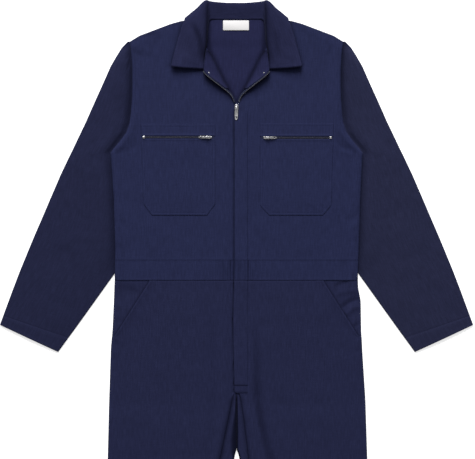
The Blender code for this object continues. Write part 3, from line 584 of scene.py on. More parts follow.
sideRoll = Sections("down height", [
    (80, 0.0), (110, 1.1), (180, 1.4), (262, 1.8), (318, 3.2), (420, 3.0), (520, 2.4), (600, 1.6),
    (700, 1.0), (900, 0.8), (1586, 0.7),
])


def frontLevel(side, out, down, curl=True):
    # Middle of the front layer; out grows from the middle of the suit to the side seam.
    under = backLevel(out, down)
    toEdge = bodyEdge(side, down) - out
    top = np.maximum(plateau.at("level", down), under + suit["layerStep"])
    fromShoulder = (down - shoulder.at("down", out)) * suit["shoulderSlope"]
    shoulderPart = blend(under + suit["layerStep"], top, easeOut(fromShoulder / 18))
    sleeveTop = np.maximum(blend(2.1, 3.9, rise(down, 84, 16)), under + suit["layerStep"])
    armPart = np.minimum(shoulderPart, blend(sleeveTop, shoulderPart, easeOut(toEdge / 15)))
    armPart = np.where(down > 80, armPart, shoulderPart)
    facing = suit["layerStep"] * fall(down, 760, 20) * (down > suit["waistBottom"])
    seamLevel = under + suit["layerStep"] + facing
    sidePart = blend(seamLevel, np.maximum(top, seamLevel), easeOut(toEdge / 14))
    level = np.where(down < suit["armpit"], armPart, sidePart)
    level = level + sideRoll.at("height", down) * bell(toEdge - 9, 7.5) * smooth(toEdge / 3)
    keep = smooth(toEdge / 8) * smooth(fromShoulder / 8)
    level = level + relief(signOf[side] * out, down) * keep
    inner = legs.at("seam" + side.capitalize(), down)
    stripLevel = suit["floorLevel"] + 2 * legs.at("roll", down)
    legRoll = 1.5 * bell(out - inner - 11, 7) * rise(down, 850, 60) * fall(down, 1250, 300)
    onLeg = np.maximum(level, stripLevel) + legRoll
    legPart = blend(stripLevel - 0.15, onLeg, easeOut((out - inner) / 10))
    underLap = underlap.at("level", down)
    if side == "right":
        lapPart = blend(underLap, level, rise(out, 7, 17))
    else:
        raised = 0.35 * fall(out, 24.6, 2.5) * fall(down, 834, 8)
        lapPart = blend(underLap + 2.7, level, rise(out, 18, 20)) + raised
    upper = np.where(down > 196, lapPart, level)
    lower = blend(lapPart, legPart, rise(down, suit["crotch"], 20))
    level = np.where(down > suit["crotch"], lower, upper)
    if curl:
        meet = np.where(down < suit["armpit"], 2.1 + suit["touching"], under + suit["touching"])
        meet = np.where(down < 92, under + suit["touching"], meet)
        nearest = np.minimum(np.maximum(toEdge, 0), np.maximum(fromShoulder, 0))
        bare = np.where(down > suit["waistBottom"], rise(down, 700, 30), 1.0)
        hang = (1 - easeOut(nearest / 2.6)) * bare
        level = blend(level, np.minimum(level, meet), hang)
    return level


def groove(distance, depth, width=0.9):
    return -depth * bell(distance, width)


# sheets of cloth

def spreadPlaces(length, step, start=(), end=()):
    # Places as start + offset + share * length: finer beside either end, even between.
    first = start[-1] if start else 0.0
    last = end[-1] if end else 0.0
    count = max(1, round((length - first - last) / step))
    pairs = [(0.0, 0.0)] + [(offset, 0.0) for offset in start]
    for i in range(1, count):
        share = i / count
        pairs.append((first - share * (first + last), share))
    pairs += [(-offset, 1.0) for offset in reversed(end)] + [(0.0, 1.0)]
    return np.array(pairs)


def withMore(places, extra):
    # Extra places set in among the others, with none left closer than 0.25 mm.
    kept = [place for place in places if min(abs(place - other) for other in extra) > 0.25]
    return np.array(sorted([*kept, *extra]))


def linesAbout(centres, width):
    return [centre + width * step for centre in centres for step in (-2.2, -1.4, -0.7, 0, 0.7, 1.4, 2.2)]


# Places beside an edge, a seam, a hem and the front opening, where the mesh is finer.
edgeOffsets = (0.5, 1.1, 1.9, 3.0, 4.6, 6.8, 9.5, 13.0)
seamOffsets = (0.6, 1.3, 2.2, 3.4)
backOffsets = (0.6, 1.3, 2.4)
hemOffsets = (0.6, 1.4, 2.4, 4, 8, 13, 18, 22, 24.3, 25, 25.7, 28)
frontOffsets = (0.5, 1.1, 1.9, 3.0, 5.0, 8.0, 12.0, 16.0, 20.0, 23.5, 26.0, 27.2, 27.9, 28.6, 29.8, 32.0)


def spanBetween(pairs, start, end):
    return start + pairs[:, 0] + pairs[:, 1] * (end - start)


def waistbandLevel(side, out, down):
    return frontLevel(side, out, down) + 0.4 * rise(out, 10, 20)


def pocketLevel(side, out, down):
    return frontLevel(side, out, down) + suit["touching"] + 0.12


def across(columns, inner, outer):
    return inner + columns[None, :, 0] + columns[None, :, 1] * (outer - inner)


def rowsOf(downs, columns):
    return downs[:, None] + 0 * columns[None, :, 0]


def together(*shades):
    # Shades from several causes, laid one over another.
    clear = 1.0
    for shade in shades:
        clear = clear * (1 - shade)
    return 1 - clear


def pointsOf(out, down, up):
    return np.stack([out, down, up], axis=2)


def steps(points, axis):
    return np.linalg.norm(np.diff(points, axis=axis), axis=2)


def cutOf(points, middleColumn=None):
    # Flat coordinates of a bent sheet: round it from the middle column, along it down that column.
    rows, columns = points.shape[:2]
    middle = columns // 2 if middleColumn is None else middleColumn
    around = np.zeros((rows, columns))
    around[:, 1:] = np.cumsum(steps(points, 1), axis=1)
    around -= around[:, middle:middle + 1]
    along = np.zeros((rows, columns))
    along[1:] = np.cumsum(steps(points, 0)[:, middle:middle + 1], axis=0)
    return np.stack([around, along], axis=2)


def clothSheet(
    name, node, points, look, side="", bent=False, cut=None, wall=None, hollow=None,
    edgeShade=0.3,
):
    # points[row, column] = (out, down, up), rows from the neck down. A sheet with a side is made
    # for the wearer's left, towards +X, and is turned over for the right. hollow is painted
    # shade in its seams and folds, and edgeShade painted shade along its edges.
    if side:
        name, node = name + "." + side, node + "_" + side
    if side == "right":
        points = points[:, ::-1] * (-1.0, 1.0, 1.0)
        hollow = None if hollow is None else hollow[:, ::-1]
    rows, columns = points.shape[:2]
    if cut is None:
        cut = cutOf(points) if bent else points[:, :, :2]
    shape = bmesh.new()
    bmesh.ops.create_grid(shape, x_segments=columns - 1, y_segments=rows - 1, size=0.5)
    mesh = bpy.data.meshes.new(name)
    shape.to_mesh(mesh)
    shape.free()
    flat = np.empty(3 * len(mesh.vertices))
    mesh.vertices.foreach_get("co", flat)
    flat = flat.reshape(-1, 3)
    column = np.rint((flat[:, 0] + 0.5) * (columns - 1)).astype(int)
    row = np.rint((0.5 - flat[:, 1]) * (rows - 1)).astype(int)
    placed = points[row, column]
    flat[:, 0] = placed[:, 0] * mm
    flat[:, 1] = (suit["length"] / 2 - placed[:, 1]) * mm
    flat[:, 2] = placed[:, 2] * mm
    mesh.vertices.foreach_set("co", flat.ravel())
    corners = np.empty(len(mesh.loops), dtype=np.int32)
    mesh.loops.foreach_get("vertex_index", corners)
    grain = mesh.uv_layers.new(name="grain")
    cutPlaces = cut[row, column] * (mm, -mm)
    grain.data.foreach_set("uv", cutPlaces[corners].ravel())
    around = np.minimum(np.abs(cut[:, :, 0] - cut[:, :1, 0]), np.abs(cut[:, :, 0] - cut[:, -1:, 0]))
    ends = np.minimum(np.abs(cut[:, :, 1] - cut[:1, :, 1]), np.abs(cut[:, :, 1] - cut[-1:, :, 1]))
    fromEdge = np.minimum(around, ends)
    depth = edgeShade * bell(fromEdge, 1.3)
    if hollow is not None:
        depth = together(depth, np.clip(hollow, 0, 0.9))
    for attribute, values in (("seam", bell(fromEdge, 5.0)), ("hollow", depth)):
        made = mesh.attributes.new(attribute, "FLOAT", "POINT")
        made.data.foreach_set("value", values[row, column])
    mesh.update()
    mesh.shade_smooth()
    mesh.materials.append(look)
    piece = bpy.data.objects.new(name, mesh)
    bpy.context.scene.collection.objects.link(piece)
    thick = piece.modifiers.new("cloth wall", "SOLIDIFY")
    thick.thickness = (wall or suit["wall"]) * mm
    thick.offset = 0.0
    thick.use_even_offset = False
    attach(piece, "suit")
    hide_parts(node)
    sheetPoints = points * (1.0, -1.0, 1.0)
    acrossSteps = np.diff(sheetPoints, axis=1)[:-1]
    downSteps = np.diff(sheetPoints, axis=0)[:, :-1]
    area = float(np.linalg.norm(np.cross(acrossSteps, downSteps), axis=2).sum()) * mm * mm
    width = float(np.ptp(cut[:, :, 0])) * mm
    length = float(np.ptp(cut[:, :, 1])) * mm
    area = min(area, width * length)
    print(f"{name}: cut {width:.3f} x {length:.3f} m, {area:.4f} m2")


placket = {"stitchOut": 23.6, "stitchTop": 232.0, "barEnd": 25.5, "topBar": 824.0, "lowBar": 840.0}
inseamShade = {"right": 0.62, "left": 0.45}
innerFoldWidth = {"right": 11.5, "left": 3.4}
waistSeams = {"right": (12.9, 27.9), "left": (13.9, 25.7)}
gatherPitch = 5.4
print("tables and helpers ready")


# fronts, waistband and trouser fronts

def lapAt(side, down):
    which = "over" if side == "left" else "under"
    low = lapEdge.at(which, down)
    corner = blend(6.7, low, rise(down, 212, 10))
    edge = np.where(down < 212, neckEdge.at("out", down), corner)
    seam = legs.at("seam" + side.capitalize(), down) + 0.3
    return np.where(down > suit["crotch"], np.maximum(seam, 4.6), edge)


def besidePlacket(side, out, down):
    # Painted shade on the under front along the edge of the one that laps over it.
    if side == "left":
        line = 0.3 * bell(out - placket["stitchOut"], 0.9)
        return line * rise(down, placket["stitchTop"], 12) * fall(down, 818, 8)
    fromEdge = out + lapEdge.at("over", down)
    line = 0.62 * bell(fromEdge - 0.9, 1.7) + 0.3 * (fromEdge < 0.9)
    return line * rise(down, 226, 12) * fall(down, 846, 6)


def inCreases(side, out, down):
    # Troughs hold a little more shade than the light alone gives them.
    return np.clip(-relief(signOf[side] * out, down) * 0.13, 0, 0.42)


collarBottom = Sections("out down", [(66, 148), (71, 148), (108, 145.6), (142, 142)])
collarSide = Sections("down out", [
    (37, 109), (52, 115.5), (67, 120.5), (84, 125.5), (99, 129.5), (118, 134.5), (141, 140.5),
])
openEdge = Sections("out down", [(4, 221), (8, 209.5), (21, 194), (44, 176.6), (66, 159), (72, 152)])


def underNeckline(out, down):
    # The deep shade under the collar's lower edges and outside the open zip.
    belowCollar = down - collarBottom.at("down", out)
    atCollar = rise(out, 64, 5) * fall(out, 143, 4) * (belowCollar > -6)
    collarShade = 0.5 * bell(belowCollar, 4.6) + 0.22 * bell(belowCollar, 11)
    outside = out - collarSide.at("out", down)
    sideShade = 0.34 * bell(outside, 4.2) + 0.12 * bell(outside, 12)
    sideShade = sideShade * (outside > -5) * fall(down, 146, 8) * rise(down, 36, 10)
    belowZip = 0.8 * (down - openEdge.at("down", out))
    atZip = fall(out, 76, 8) * fall(down, 224, 12)
    zipShade = 0.60 * bell(belowZip, 5.0) + 0.26 * bell(belowZip, 13)
    return np.maximum(np.maximum(collarShade * atCollar, sideShade), zipShade * atZip)


def frontBodice(side):
    columns = spreadPlaces(185, 3.2, frontOffsets, edgeOffsets)
    rows = spreadPlaces(505, 3.2, edgeOffsets, seamOffsets)
    bottom = suit["waistTop"]
    top = shoulder.at("down", spanBetween(columns, 66, 229))[None, :]
    down = top + rows[:, :1] + rows[:, 1:] * (bottom - top)
    out = across(columns, lapAt(side, down), bodyEdge(side, down))
    up = frontLevel(side, out, down) + groove(bottom - down, 0.4, 1.3)
    if side == "left":
        stitched = groove(out - placket["stitchOut"], 0.3) * rise(down, placket["stitchTop"], 12)
        up += stitched + groove(out + 0.5, 0.12, 1.2) * (down > 230)
    # Painted shade beside the placket, in creases, under the collar and open zip and along the shoulder.
    fromShoulder = (down - shoulder.at("down", out)) * suit["shoulderSlope"]
    shoulderShade = 0.24 * bell(fromShoulder, 7) + 0.07 * bell(fromShoulder, 50)
    lines = together(besidePlacket(side, out, down), inCreases(side, out, down))
    hollow = together(lines, underNeckline(out, down), shoulderShade)
    points = pointsOf(out, down, up)
    clothSheet("frontBodice", "front", points, bodyNavy, side, hollow=hollow)


def gathers(side, out, down):
    # Fine upright ripples where the waistband is held in.
    strength = 0.30 if side == "right" else 0.18
    near = fall(out, 190, 60) * rise(out, 12, 8)
    ripple = np.sin(out * 2 * math.pi / gatherPitch + 1.2 * np.sin(out / 17))
    return strength * near * ripple * (0.7 + 0.3 * np.sin(down / 9))


def frontWaistband(side):
    columns = spreadPlaces(270, 2.4, frontOffsets, edgeOffsets)
    rows = spreadPlaces(42.7, 2.6, (0.6, 1.3, 2.2, 3.0, 3.8), seamOffsets)
    top, bottom = suit["waistTop"], suit["waistBottom"]
    down = rowsOf(spanBetween(rows, top, bottom), columns)
    out = across(columns, lapAt(side, down), bodyEdge(side, down))
    up = waistbandLevel(side, out, down) + gathers(side, out, down)
    fromTop, toBottom = down - top, bottom - down
    up += groove(fromTop, 0.35, 0.9) + groove(fromTop - 3.0, 0.18) + groove(toBottom, 0.7, 1.0)
    # Painted shade between the gathers and along the seams.
    between = 0.12 * (1 - np.cos(out * 2 * math.pi / gatherPitch)) * fall(out, 60, 40)
    hollow = besidePlacket(side, out, down) + between
    for seam in waistSeams[side]:
        up += groove(out - seam, 0.5, 0.9)
        hollow += 0.28 * bell(out - seam, 1.0)
    points, rests = pointsOf(out, down, up), ["waistband_back"]
    clothSheet("waistbandFront", "waistband_front", points, bodyNavy, side, hollow=hollow)


def trouserFront(side):
    columns = spreadPlaces(265, 3.8, frontOffsets, edgeOffsets)
    rows = spreadPlaces(987, 3.8, seamOffsets, hemOffsets)
    top, bottom = suit["waistBottom"], suit["length"]
    barDowns = (placket["topBar"], placket["lowBar"])
    down = rowsOf(withMore(spanBetween(rows, top, bottom), linesAbout(barDowns, 1.0)), columns)
    inner = lapAt(side, down)
    outer = np.where(down < 718, slant.at("out", down), bodyEdge(side, down))
    out = across(columns, inner, outer)
    up = frontLevel(side, out, down)
    turnedUp = 0.3 * smooth((down - bottom + suit["hem"]) / 2)
    up += groove(down - top, 0.5, 1.2) + groove(bottom - down - suit["hem"], 0.35) + turnedUp
    slantGap = (slant.at("out", down) - out) * suit["slantSlope"]
    up += (groove(slantGap, 0.45, 0.8) + groove(slantGap - 5.5, 0.3)) * (down < 722)
    up += (0.3 * bell(slantGap - 3, 2.0) + 1.0 * fall(slantGap, 14, 12)) * fall(down, 718, 10)
    # Painted shade beside the placket, in creases, along the bar tacks and the inseam.
    hollow = together(besidePlacket(side, out, down), inCreases(side, out, down))
    if side == "left":
        fromTop, fromLow = (down - place for place in barDowns)
        onBars = fall(out, placket["barEnd"], 1.5)
        up += groove(out - placket["stitchOut"], 0.25) * fall(down, 818, 8)
        bars = groove(fromTop, 0.75, 1.3) + groove(fromLow, 0.65, 1.3) + 0.35 * bell(down - 832, 4)
        up += bars * onBars
        hollow = np.maximum(hollow, 0.5 * (bell(fromTop, 2.3) + bell(fromLow, 2.3)) * onBars)
    inseam = inseamShade[side] * bell(out - inner, 5.0) * rise(down, 842, 14)
    hollow = together(hollow, inseam * blend(0.4, 1, fall(down, 1200, 220)))
    points, rests = pointsOf(out, down, up), ["trouser_back_" + side, "pocket_facing_" + side]
    clothSheet("trouserFront", "trouser_front", points, trouserNavy, side, hollow=hollow)


facingCreases = Sections(creaseColumns, [
    (210, 611, 242, 602, 2, 4.5, -1.1), (212, 629, 264, 622, 4, 7, 1.3),
    (223, 658, 266, 636, 5, 4.0, -2.2), (232, 674, 268, 653, 5, 6.5, 1.8),
    (243, 708, 264, 689, 2, 4, -1.1), (-206, 628, -256, 612, -3, 8, -0.6),
    (-222, 664, -262, 652, -3, 8, 0.6), (-238, 690, -264, 684, -2, 6, -0.5),
])


def pocketFacing(side):
    columns = spreadPlaces(80, 2.2, (), edgeOffsets)
    top = suit["waistBottom"]
    down = rowsOf(spanBetween(spreadPlaces(140, 2.4, seamOffsets), top, 740.0), columns)
    inner = np.minimum(slant.at("out", down) - 15, 250)
    edge = bodyEdge(side, down)
    out = across(columns, inner, edge)
    under = backLevel(out, down)
    up = under + blend(suit["touching"], 1.9, easeOut((edge - out) / 14))
    nearWaist = fall(down - top, 34, 34)
    up = blend(up, frontLevel(side, out, down, curl=False) - 0.9, nearWaist)
    fromSlant = out - slant.at("out", down)
    uncovered = smooth(fromSlant / 5)
    folds = shortCreases(facingCreases, signOf[side] * out, down)
    up += folds * uncovered + groove(down - top, 0.35, 1.2)
    up = np.maximum(up, under + suit["touching"])
    # Painted shade under the front's slant edge and in the facing's creases.
    underFlap = 0.5 * bell(np.maximum(fromSlant, 0), 3.2, 1.5)
    hollow = together(underFlap, np.clip(-folds * 0.22, 0, 0.4) * uncovered)
    points, rests = pointsOf(out, down, up), ["trouser_back_" + side]
    clothSheet("pocketFacing", "pocket_facing", points, trouserNavy, side, hollow=hollow)


# back, waistband and trouser backs

neckSide = Sections("down out", [(33, 61), (98, 60), (132, 45), (165, 29), (196, 12), (212, 5)])
underSuit = ["sleeve_right", "sleeve_left"]


def acrossBack(columns, down):
    return across(columns, -bodyEdge("right", down), bodyEdge("left", down))


def backBodice():
    columns = spreadPlaces(540, 5.0, edgeOffsets, edgeOffsets)
    rows = spreadPlaces(510, 5.0, edgeOffsets, backOffsets)
    outTop = np.abs(spanBetween(columns, -229, 229))
    neckTop = 41.1 - 8.1 * rise(outTop, 57, 9)
    top = np.where(outTop > 66, shoulder.at("down", outTop), neckTop)
    down = top[None, :] + rows[:, :1] + rows[:, 1:] * (suit["waistTop"] - top[None, :])
    out = acrossBack(columns, down)
    inNeck = fall(np.abs(out), 66, 30) * fall(down, 230, 60) * rise(down, 44, 20)
    up = backLevel(out, down) + inNeck * (0.5 + undulation(out, down, 5, 0.25, 50.0))
    # Painted shade inside the neck beside the collar's roll and along the stand's seam.
    hollow = 0.62 * bell(neckSide.at("out", down) - np.abs(out), 6.0) + 0.08 * bell(down - 44, 3.0)
    hollow = np.clip(hollow, 0, 0.6) * (down < 225) * (np.abs(out) < 66)
    points, rests = pointsOf(out, down, up), [*underSuit, "collar"]
    clothSheet("backBodice", "back", points, insideNavy, hollow=hollow, edgeShade=0.1)


def backWaistband():
    columns = spreadPlaces(520, 5.0, edgeOffsets, edgeOffsets)
    rows = spreadPlaces(42.7, 4.0, backOffsets, backOffsets)
    down = rowsOf(spanBetween(rows, suit["waistTop"], suit["waistBottom"]), columns)
    out = acrossBack(columns, down)
    points = pointsOf(out, down, backLevel(out, down))
    clothSheet("waistbandBack", "waistband_back", points, insideNavy)


def trouserBack(side):
    # From the inseam on the front, round the leg's inner fold, then flat to the outseam.
    rows = spreadPlaces(987, 5.0, backOffsets, hemOffsets)
    down = spanBetween(rows, suit["waistBottom"], suit["length"])[:, None]
    names = ("fold" + side.capitalize(), "seam" + side.capitalize(), "roll")
    fold, seam, roll = (legs.at(name, down) for name in names)
    crest = fold + roll
    strip = np.linspace(1, 0, 12)[None, :-1]
    stripOut = crest + (seam - crest) * strip
    stripUp = suit["floorLevel"] + 2 * roll - 0.15 * strip + 0 * stripOut
    angles = np.radians(np.linspace(90, -90, 13))[None, :]
    arcOut = crest - roll * np.cos(angles)
    arcUp = suit["floorLevel"] + roll + roll * np.sin(angles)
    flat = spreadPlaces(260, 6.0, (1.5, 4.0), edgeOffsets)[1:]
    flatOut = across(flat, crest, bodyEdge(side, down))
    out = np.concatenate([stripOut, arcOut, flatOut], axis=1)
    up = np.concatenate([stripUp, arcUp, backLevel(flatOut, down)], axis=1)
    up = up + groove(suit["length"] - down - suit["hem"], 0.2) * (up > 1.5)
    # Painted shade in the crotch: deep along the strip's inner fold and the inseam, and over the fold's
    # arc.
    nearCrotch = rise(down, 838, 12) * fall(down, 1180, 220)
    widening = rise(down, 862, 78) * fall(down, 985, 30)
    stripShade = 0.88 * bell(stripOut - fold, blend(2.4, innerFoldWidth[side], widening), 4)
    stripShade = np.maximum(stripShade, inseamShade[side] * bell(seam - stripOut, 5.2)) * nearCrotch
    hollow = np.concatenate([stripShade, 0.86 * nearCrotch + 0 * arcOut, 0 * flatOut], axis=1)
    points = pointsOf(out, down + 0 * out, up)
    clothSheet("trouserBack", "trouser_back", points, trouserNavy, side, bent=True, hollow=hollow)


for side in bothSides:
    trouserBack(side)
backBodice()
backWaistband()
for side in bothSides:
    pocketFacing(side)
    trouserFront(side)
    frontWaistband(side)
    frontBodice(side)
print("body panels laid")


# sleeves

sleeve = {
    "fold": 1.15, "loft": 3.0, "beside": 3.6, "hem": 21.0, "frontColumns": 84, "backColumns": 26,
    "armpitRow": 11,        # above it the inner edge is the armhole, below it the underarm's fold
    "underBody": 606.0,     # below it the arm is clear of the body
}
# Painted shade on the sleeve beside the body's edge: strength for each side and how far out it starts.
besideBody = Sections("down right left start", [
    (88, 0.28, 0.5, 1), (112, 0.56, 0.7, 1), (150, 0.62, 0.74, 1), (200, 0.64, 0.7, 1),
    (240, 0.64, 0.56, 3), (275, 0.40, 0.24, 3), (318, 0.22, 0.12, 2), (345, 0.45, 0.4, 1),
    (430, 0.6, 0.56, 0), (540, 0.62, 0.58, 0), (580, 0.5, 0.5, 0), (606, 0, 0, 0),
])


def sleeveTube(side):
    table = sleeveOutline.rows
    outerSteps = np.hypot(np.diff(table[:, 3]), np.diff(table[:, 4]))
    outerLength = np.concatenate([[0], np.cumsum(outerSteps)])
    whole, hem = outerLength[-1], sleeve["hem"]
    ends = (0.6, 1.3, 2.2, 3.5, 7, 12, 16, hem - 1.2, hem - 0.6, hem, hem + 0.6, hem + 1.4, hem + 3)
    places = spanBetween(spreadPlaces(whole, 3.8, (), ends), 0, whole)
    row = np.interp(places, outerLength, table[:, 0])[:, None]
    names = ("inner", "innerDown", "outer", "outerDown")
    inner, innerDown, outer, outerDown = (sleeveOutline.at(name, row) for name in names)
    length = np.hypot(outer - inner, outerDown - innerDown)
    unitOut, unitDown = (outer - inner) / length, (outerDown - innerDown) / length
    fold = np.minimum(sleeve["fold"], length * 0.2)
    atArmhole = row <= sleeve["armpitRow"]
    frontStart = -np.where(atArmhole, sleeveTuck.at("tuck", innerDown), 0.0) / unitOut
    flatEnd = length - fold
    share = np.linspace(0, 1, sleeve["frontColumns"])[None, :]
    share = share - 0.10 * np.sin(2 * math.pi * share) / (2 * math.pi) * 1.6
    reach = frontStart + (flatEnd - frontStart) * share
    out, down = inner + unitOut * reach, innerDown + unitDown * reach
    body = np.where(down < sleeve["underBody"], bodyEdge(side, down), 150)
    away = out - body
    clear = rise(away, 3, 26)
    cap = 1.7 * rise(away, 2, 5) * rise(down, 98, 14) * fall(down, 240, 60)
    level = suit["floorLevel"] + blend(suit["layerStep"], 2 * fold, rise(share, 0.7, 0.3))
    level = level + sleeve["loft"] * np.sin(math.pi * share) ** 0.8 * clear + cap * fall(share, 1, 0.4)
    bank = rise(away, 1.5, 13) * bell(np.maximum(away - 16, 0), 26) * fall(down, 590, 60)
    level = level + sleeve["beside"] * bank * rise(down, 96, 40) * fall(share, 1, 0.25)
    # Painted shade beside the body.
    beyond = np.maximum(away - besideBody.at("start", down), 0)
    nearBody = besideBody.at(side, down) * bell(beyond, 9.0, 1.4)
    turned = signOf[side] * out
    shape = shortCreases(sleeveCreases, turned, down) + undulation(turned, down, 23, 0.26)
    fading = rise(away, 2, 6), fall(share, 1, 0.12), rise(length, 12, 20)
    level = level + shape * fading[0] * fading[1] * fading[2]
    underarm = (1 - easeOut(reach / 2.6)) * (1 - atArmhole)
    level = blend(level, suit["floorLevel"] + suit["touching"], underarm)
    level = np.maximum(level, suit["floorLevel"] + suit["touching"])
    toCuff = whole - places[:, None]
    level = level + groove(toCuff - hem, 0.35) + 0.3 * smooth((hem - toCuff) / 2)
    angles = np.radians(np.linspace(90, -90, 11))[None, 1:]
    arcReach = flatEnd + fold * np.cos(angles)
    arcUp = suit["floorLevel"] + fold * (1 + np.sin(angles))
    backShare = np.linspace(1, 0, sleeve["backColumns"])[None, 1:]
    backStart = np.where(atArmhole, 0.4, 0.0)
    backReach = backStart + (flatEnd - backStart) * backShare
    reaches = np.concatenate([reach, arcReach, backReach], axis=1)
    ups = np.concatenate([level, arcUp, suit["floorLevel"] + 0 * backReach], axis=1)
    points = pointsOf(inner + unitOut * reaches, innerDown + unitDown * reaches, ups)
    hollow = np.concatenate([nearBody, 0 * arcReach, 0 * backReach], axis=1)
    clothSheet("sleeveTube", "sleeve", points, sleeveNavy[side], side, bent=True, hollow=hollow)


for side in bothSides:
    sleeveTube(side)
print("sleeves laid")


# collar and lapels

collar = {"wall": 1.3, "tipLift": 4.4, "stitchIn": 6.0}
lapel = {"lift": 5.0, "wall": 1.1, "top": 107, "end": 189, "foldUp": 7.9}


def through(points, counts):
    # A smooth line through a few points, with a number of steps for each stretch.
    points = [np.array(p, float) for p in points]
    tangents = [points[1] - points[0]]
    tangents += [(after - before) / 2 for before, after in zip(points, points[2:])]
    tangents.append(points[-1] - points[-2])
    line = [points[0]]
    for a, b, ta, tb, count in zip(points, points[1:], tangents, tangents[1:], counts):
        reach = np.linalg.norm(b - a) * 0.8
        ta = ta / np.linalg.norm(ta) * reach
        tb = tb / np.linalg.norm(tb) * reach
        for i in range(1, count + 1):
            t = i / count
            line.append(
                a * (2 * t**3 - 3 * t**2 + 1) + ta * (t**3 - 2 * t**2 + t)
                + b * (3 * t**2 - 2 * t**3) + tb * (t**3 - t**2)
            )
    return line


collarRoll = Sections("down out", [(0, 60.5), (14, 62.5), (34, 63.8), (84, 65.0), (106, 67.5), (147, 75)])


def collarSheet():
    sections = []
    for row in collarCut.rows:
        controls = [tuple(row[1 + 3 * i:4 + 3 * i]) for i in range(4)]
        sections.append(through(controls, (10, 14, 10)))
    along = (6, 5, 5, 5, 5, 8, 9, 9, 8, 6, 6)
    lines = [through(line, along) for line in zip(*sections)]
    half = np.array(lines).transpose(1, 0, 2)
    mirrored = half[:-1] * (-1.0, 1.0, 1.0)
    points = np.concatenate([mirrored, half[::-1]], axis=0)
    cut = cutOf(points, 0)
    out, down, up = points[:, :, 0], points[:, :, 1], points[:, :, 2]
    onTop = rise(up, 6.2, 1.5) * rise(np.abs(out), 62, 8)
    toTip = rise(down, 96, 46) * rise(np.abs(out), 68, 60)
    lifted = collar["tipLift"] * toTip + shortCreases(collarCreases, out, down) * onTop
    lifted = lifted + undulation(out, down, 31, 0.16, 40.0) * onTop
    toEdge = cut[:, -1:, 0] - cut[:, :, 0]
    hemmed = groove(toEdge - collar["stitchIn"], 0.3) + 0.15 * fall(toEdge, collar["stitchIn"], 2)
    lifted = lifted + hemmed * onTop
    down = down + 1.6 * onTop * toTip
    points = pointsOf(out, down, np.maximum(up + lifted, suit["floorLevel"] + 0.05))
    # Painted shade along the collar's roll and in the wings' creases.
    fromRoll = np.abs(out) - collarRoll.at("out", down)
    rollShade = np.where(fromRoll > 0, bell(fromRoll, 5.5, 1.3), bell(fromRoll, 3.0) * 1.2)
    rollShade = 0.70 * rollShade * rise(down, -4, 14) * fall(down, 142, 30) * (np.abs(out) > 45)
    wingCrease = np.clip(-shortCreases(collarCreases, out, down) * 0.16, 0, 0.45) * onTop
    clothSheet(
        "collarLeaf", "collar", points, collarNavy, cut=cut, hollow=together(rollShade, wingCrease),
        wall=collar["wall"], edgeShade=0.1,
    )


def lapelLift(down):
    return lapel["lift"] * fall(down, 212, 40)


def lapelSheet(side):
    rows = []
    for down in np.linspace(lapel["top"], lapel["end"], 36):
        outer, outerUp, roll = (float(lapelCut.at(name, down)) for name in ("outer", "outerUp", "roll"))
        outerUp += float(lapelLift(down))
        controls = [(outer, down, outerUp)]
        for t, share in ((0.66, 0.62), (0.33, 0.25)):
            controls.append((roll + (outer - roll) * t, down, blend(lapel["foldUp"], outerUp, share)))
        for aside, up in ((1.3, 7.8), (0.2, 7.0), (0, 6.2), (0.3, 5.2)):
            controls.append((roll + aside, down, up))
        rows.append(through(controls, (8, 8, 8, 4, 3, 3))[::-1])
    points = np.array(rows)
    # Painted shade along the lapel's inner edge and at its top.
    fromInner = points[:, :, 0] - points[:, :1, 0]
    hollow = 0.5 * bell(fromInner, 4.5) + 0.1 + 0.4 * fall(points[:, :, 1], 134, 32)
    rests, wall = ["front_" + side], lapel["wall"]
    clothSheet("lapelFacing", "lapel", points, insideNavy, side, hollow=hollow, wall=wall)


collarSheet()
for side in bothSides:
    lapelSheet(side)
print("collar and lapels laid")


# chest pockets

def pocketSheet(side, part):
    pocket = pockets[side]
    lower = part == "low"
    top = pocket["slit"] + pocketMouth if lower else pocket["top"]
    bottom = pocket["bottom"] if lower else pocket["slit"] - pocketMouth
    hemmed = (0.5, 1.1, 1.9, 3.0, 4.6, 5.4, 6.2)
    columns = spreadPlaces(158, 2.8, (*hemmed, 8), (*hemmed, 8))
    down = rowsOf(spanBetween(spreadPlaces(bottom - top, 2.8, hemmed[:5], hemmed), top, bottom), columns)
    turn = np.clip((down - pocket["chamferDown"]) / (pocket["bottom"] - pocket["chamferDown"]), 0, 1)
    innerSide = blend(pocket["inner"], pocket["lowInner"], turn)
    straight = blend(pocket["outer"], pocket["outerLow"], (down - pocket["top"]) / 180)
    atChamfer = blend(pocket["outer"], pocket["outerLow"], (pocket["chamferDown"] - pocket["top"]) / 180)
    outerSide = np.where(turn > 0, blend(atChamfer, pocket["lowOuter"], turn), straight)
    out = across(columns, innerSide, outerSide)
    slope = 1 - 0.3 * (turn > 0)
    toSides = np.minimum(out - innerSide, outerSide - out) * slope
    toEnds = np.minimum(down - top + 40 * lower, bottom - down + 40 * (1 - lower))
    inside = np.minimum(toSides, toEnds)
    up = pocketLevel(side, out, down)
    up = up + groove(inside, 0.35, 1.0) + groove(inside - pocketRows["inner"], 0.22)
    full = smooth(inside / 40) * (0.75 if lower else 0.15)
    mouth = np.abs(down - pocket["slit"]) - pocketMouth
    welt = 0.55 * bell(mouth - 2.0, 1.6) * smooth(toSides / 5)
    uneven = undulation(out, down, 41 if side == "left" else 43, 0.12, 46.0)
    points = pointsOf(out, down, up + full + welt + uneven * smooth(inside / 10))
    name, node = ("pocketPouch", "pocket") if lower else ("pocketBand", "pocket_top")
    clothSheet(name, node, points, bodyNavy, side, edgeShade=0.16)


for side in bothSides:
    pocketSheet(side, "top")
    pocketSheet(side, "low")
print("pockets laid")


# small hard pieces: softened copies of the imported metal, zips and the label

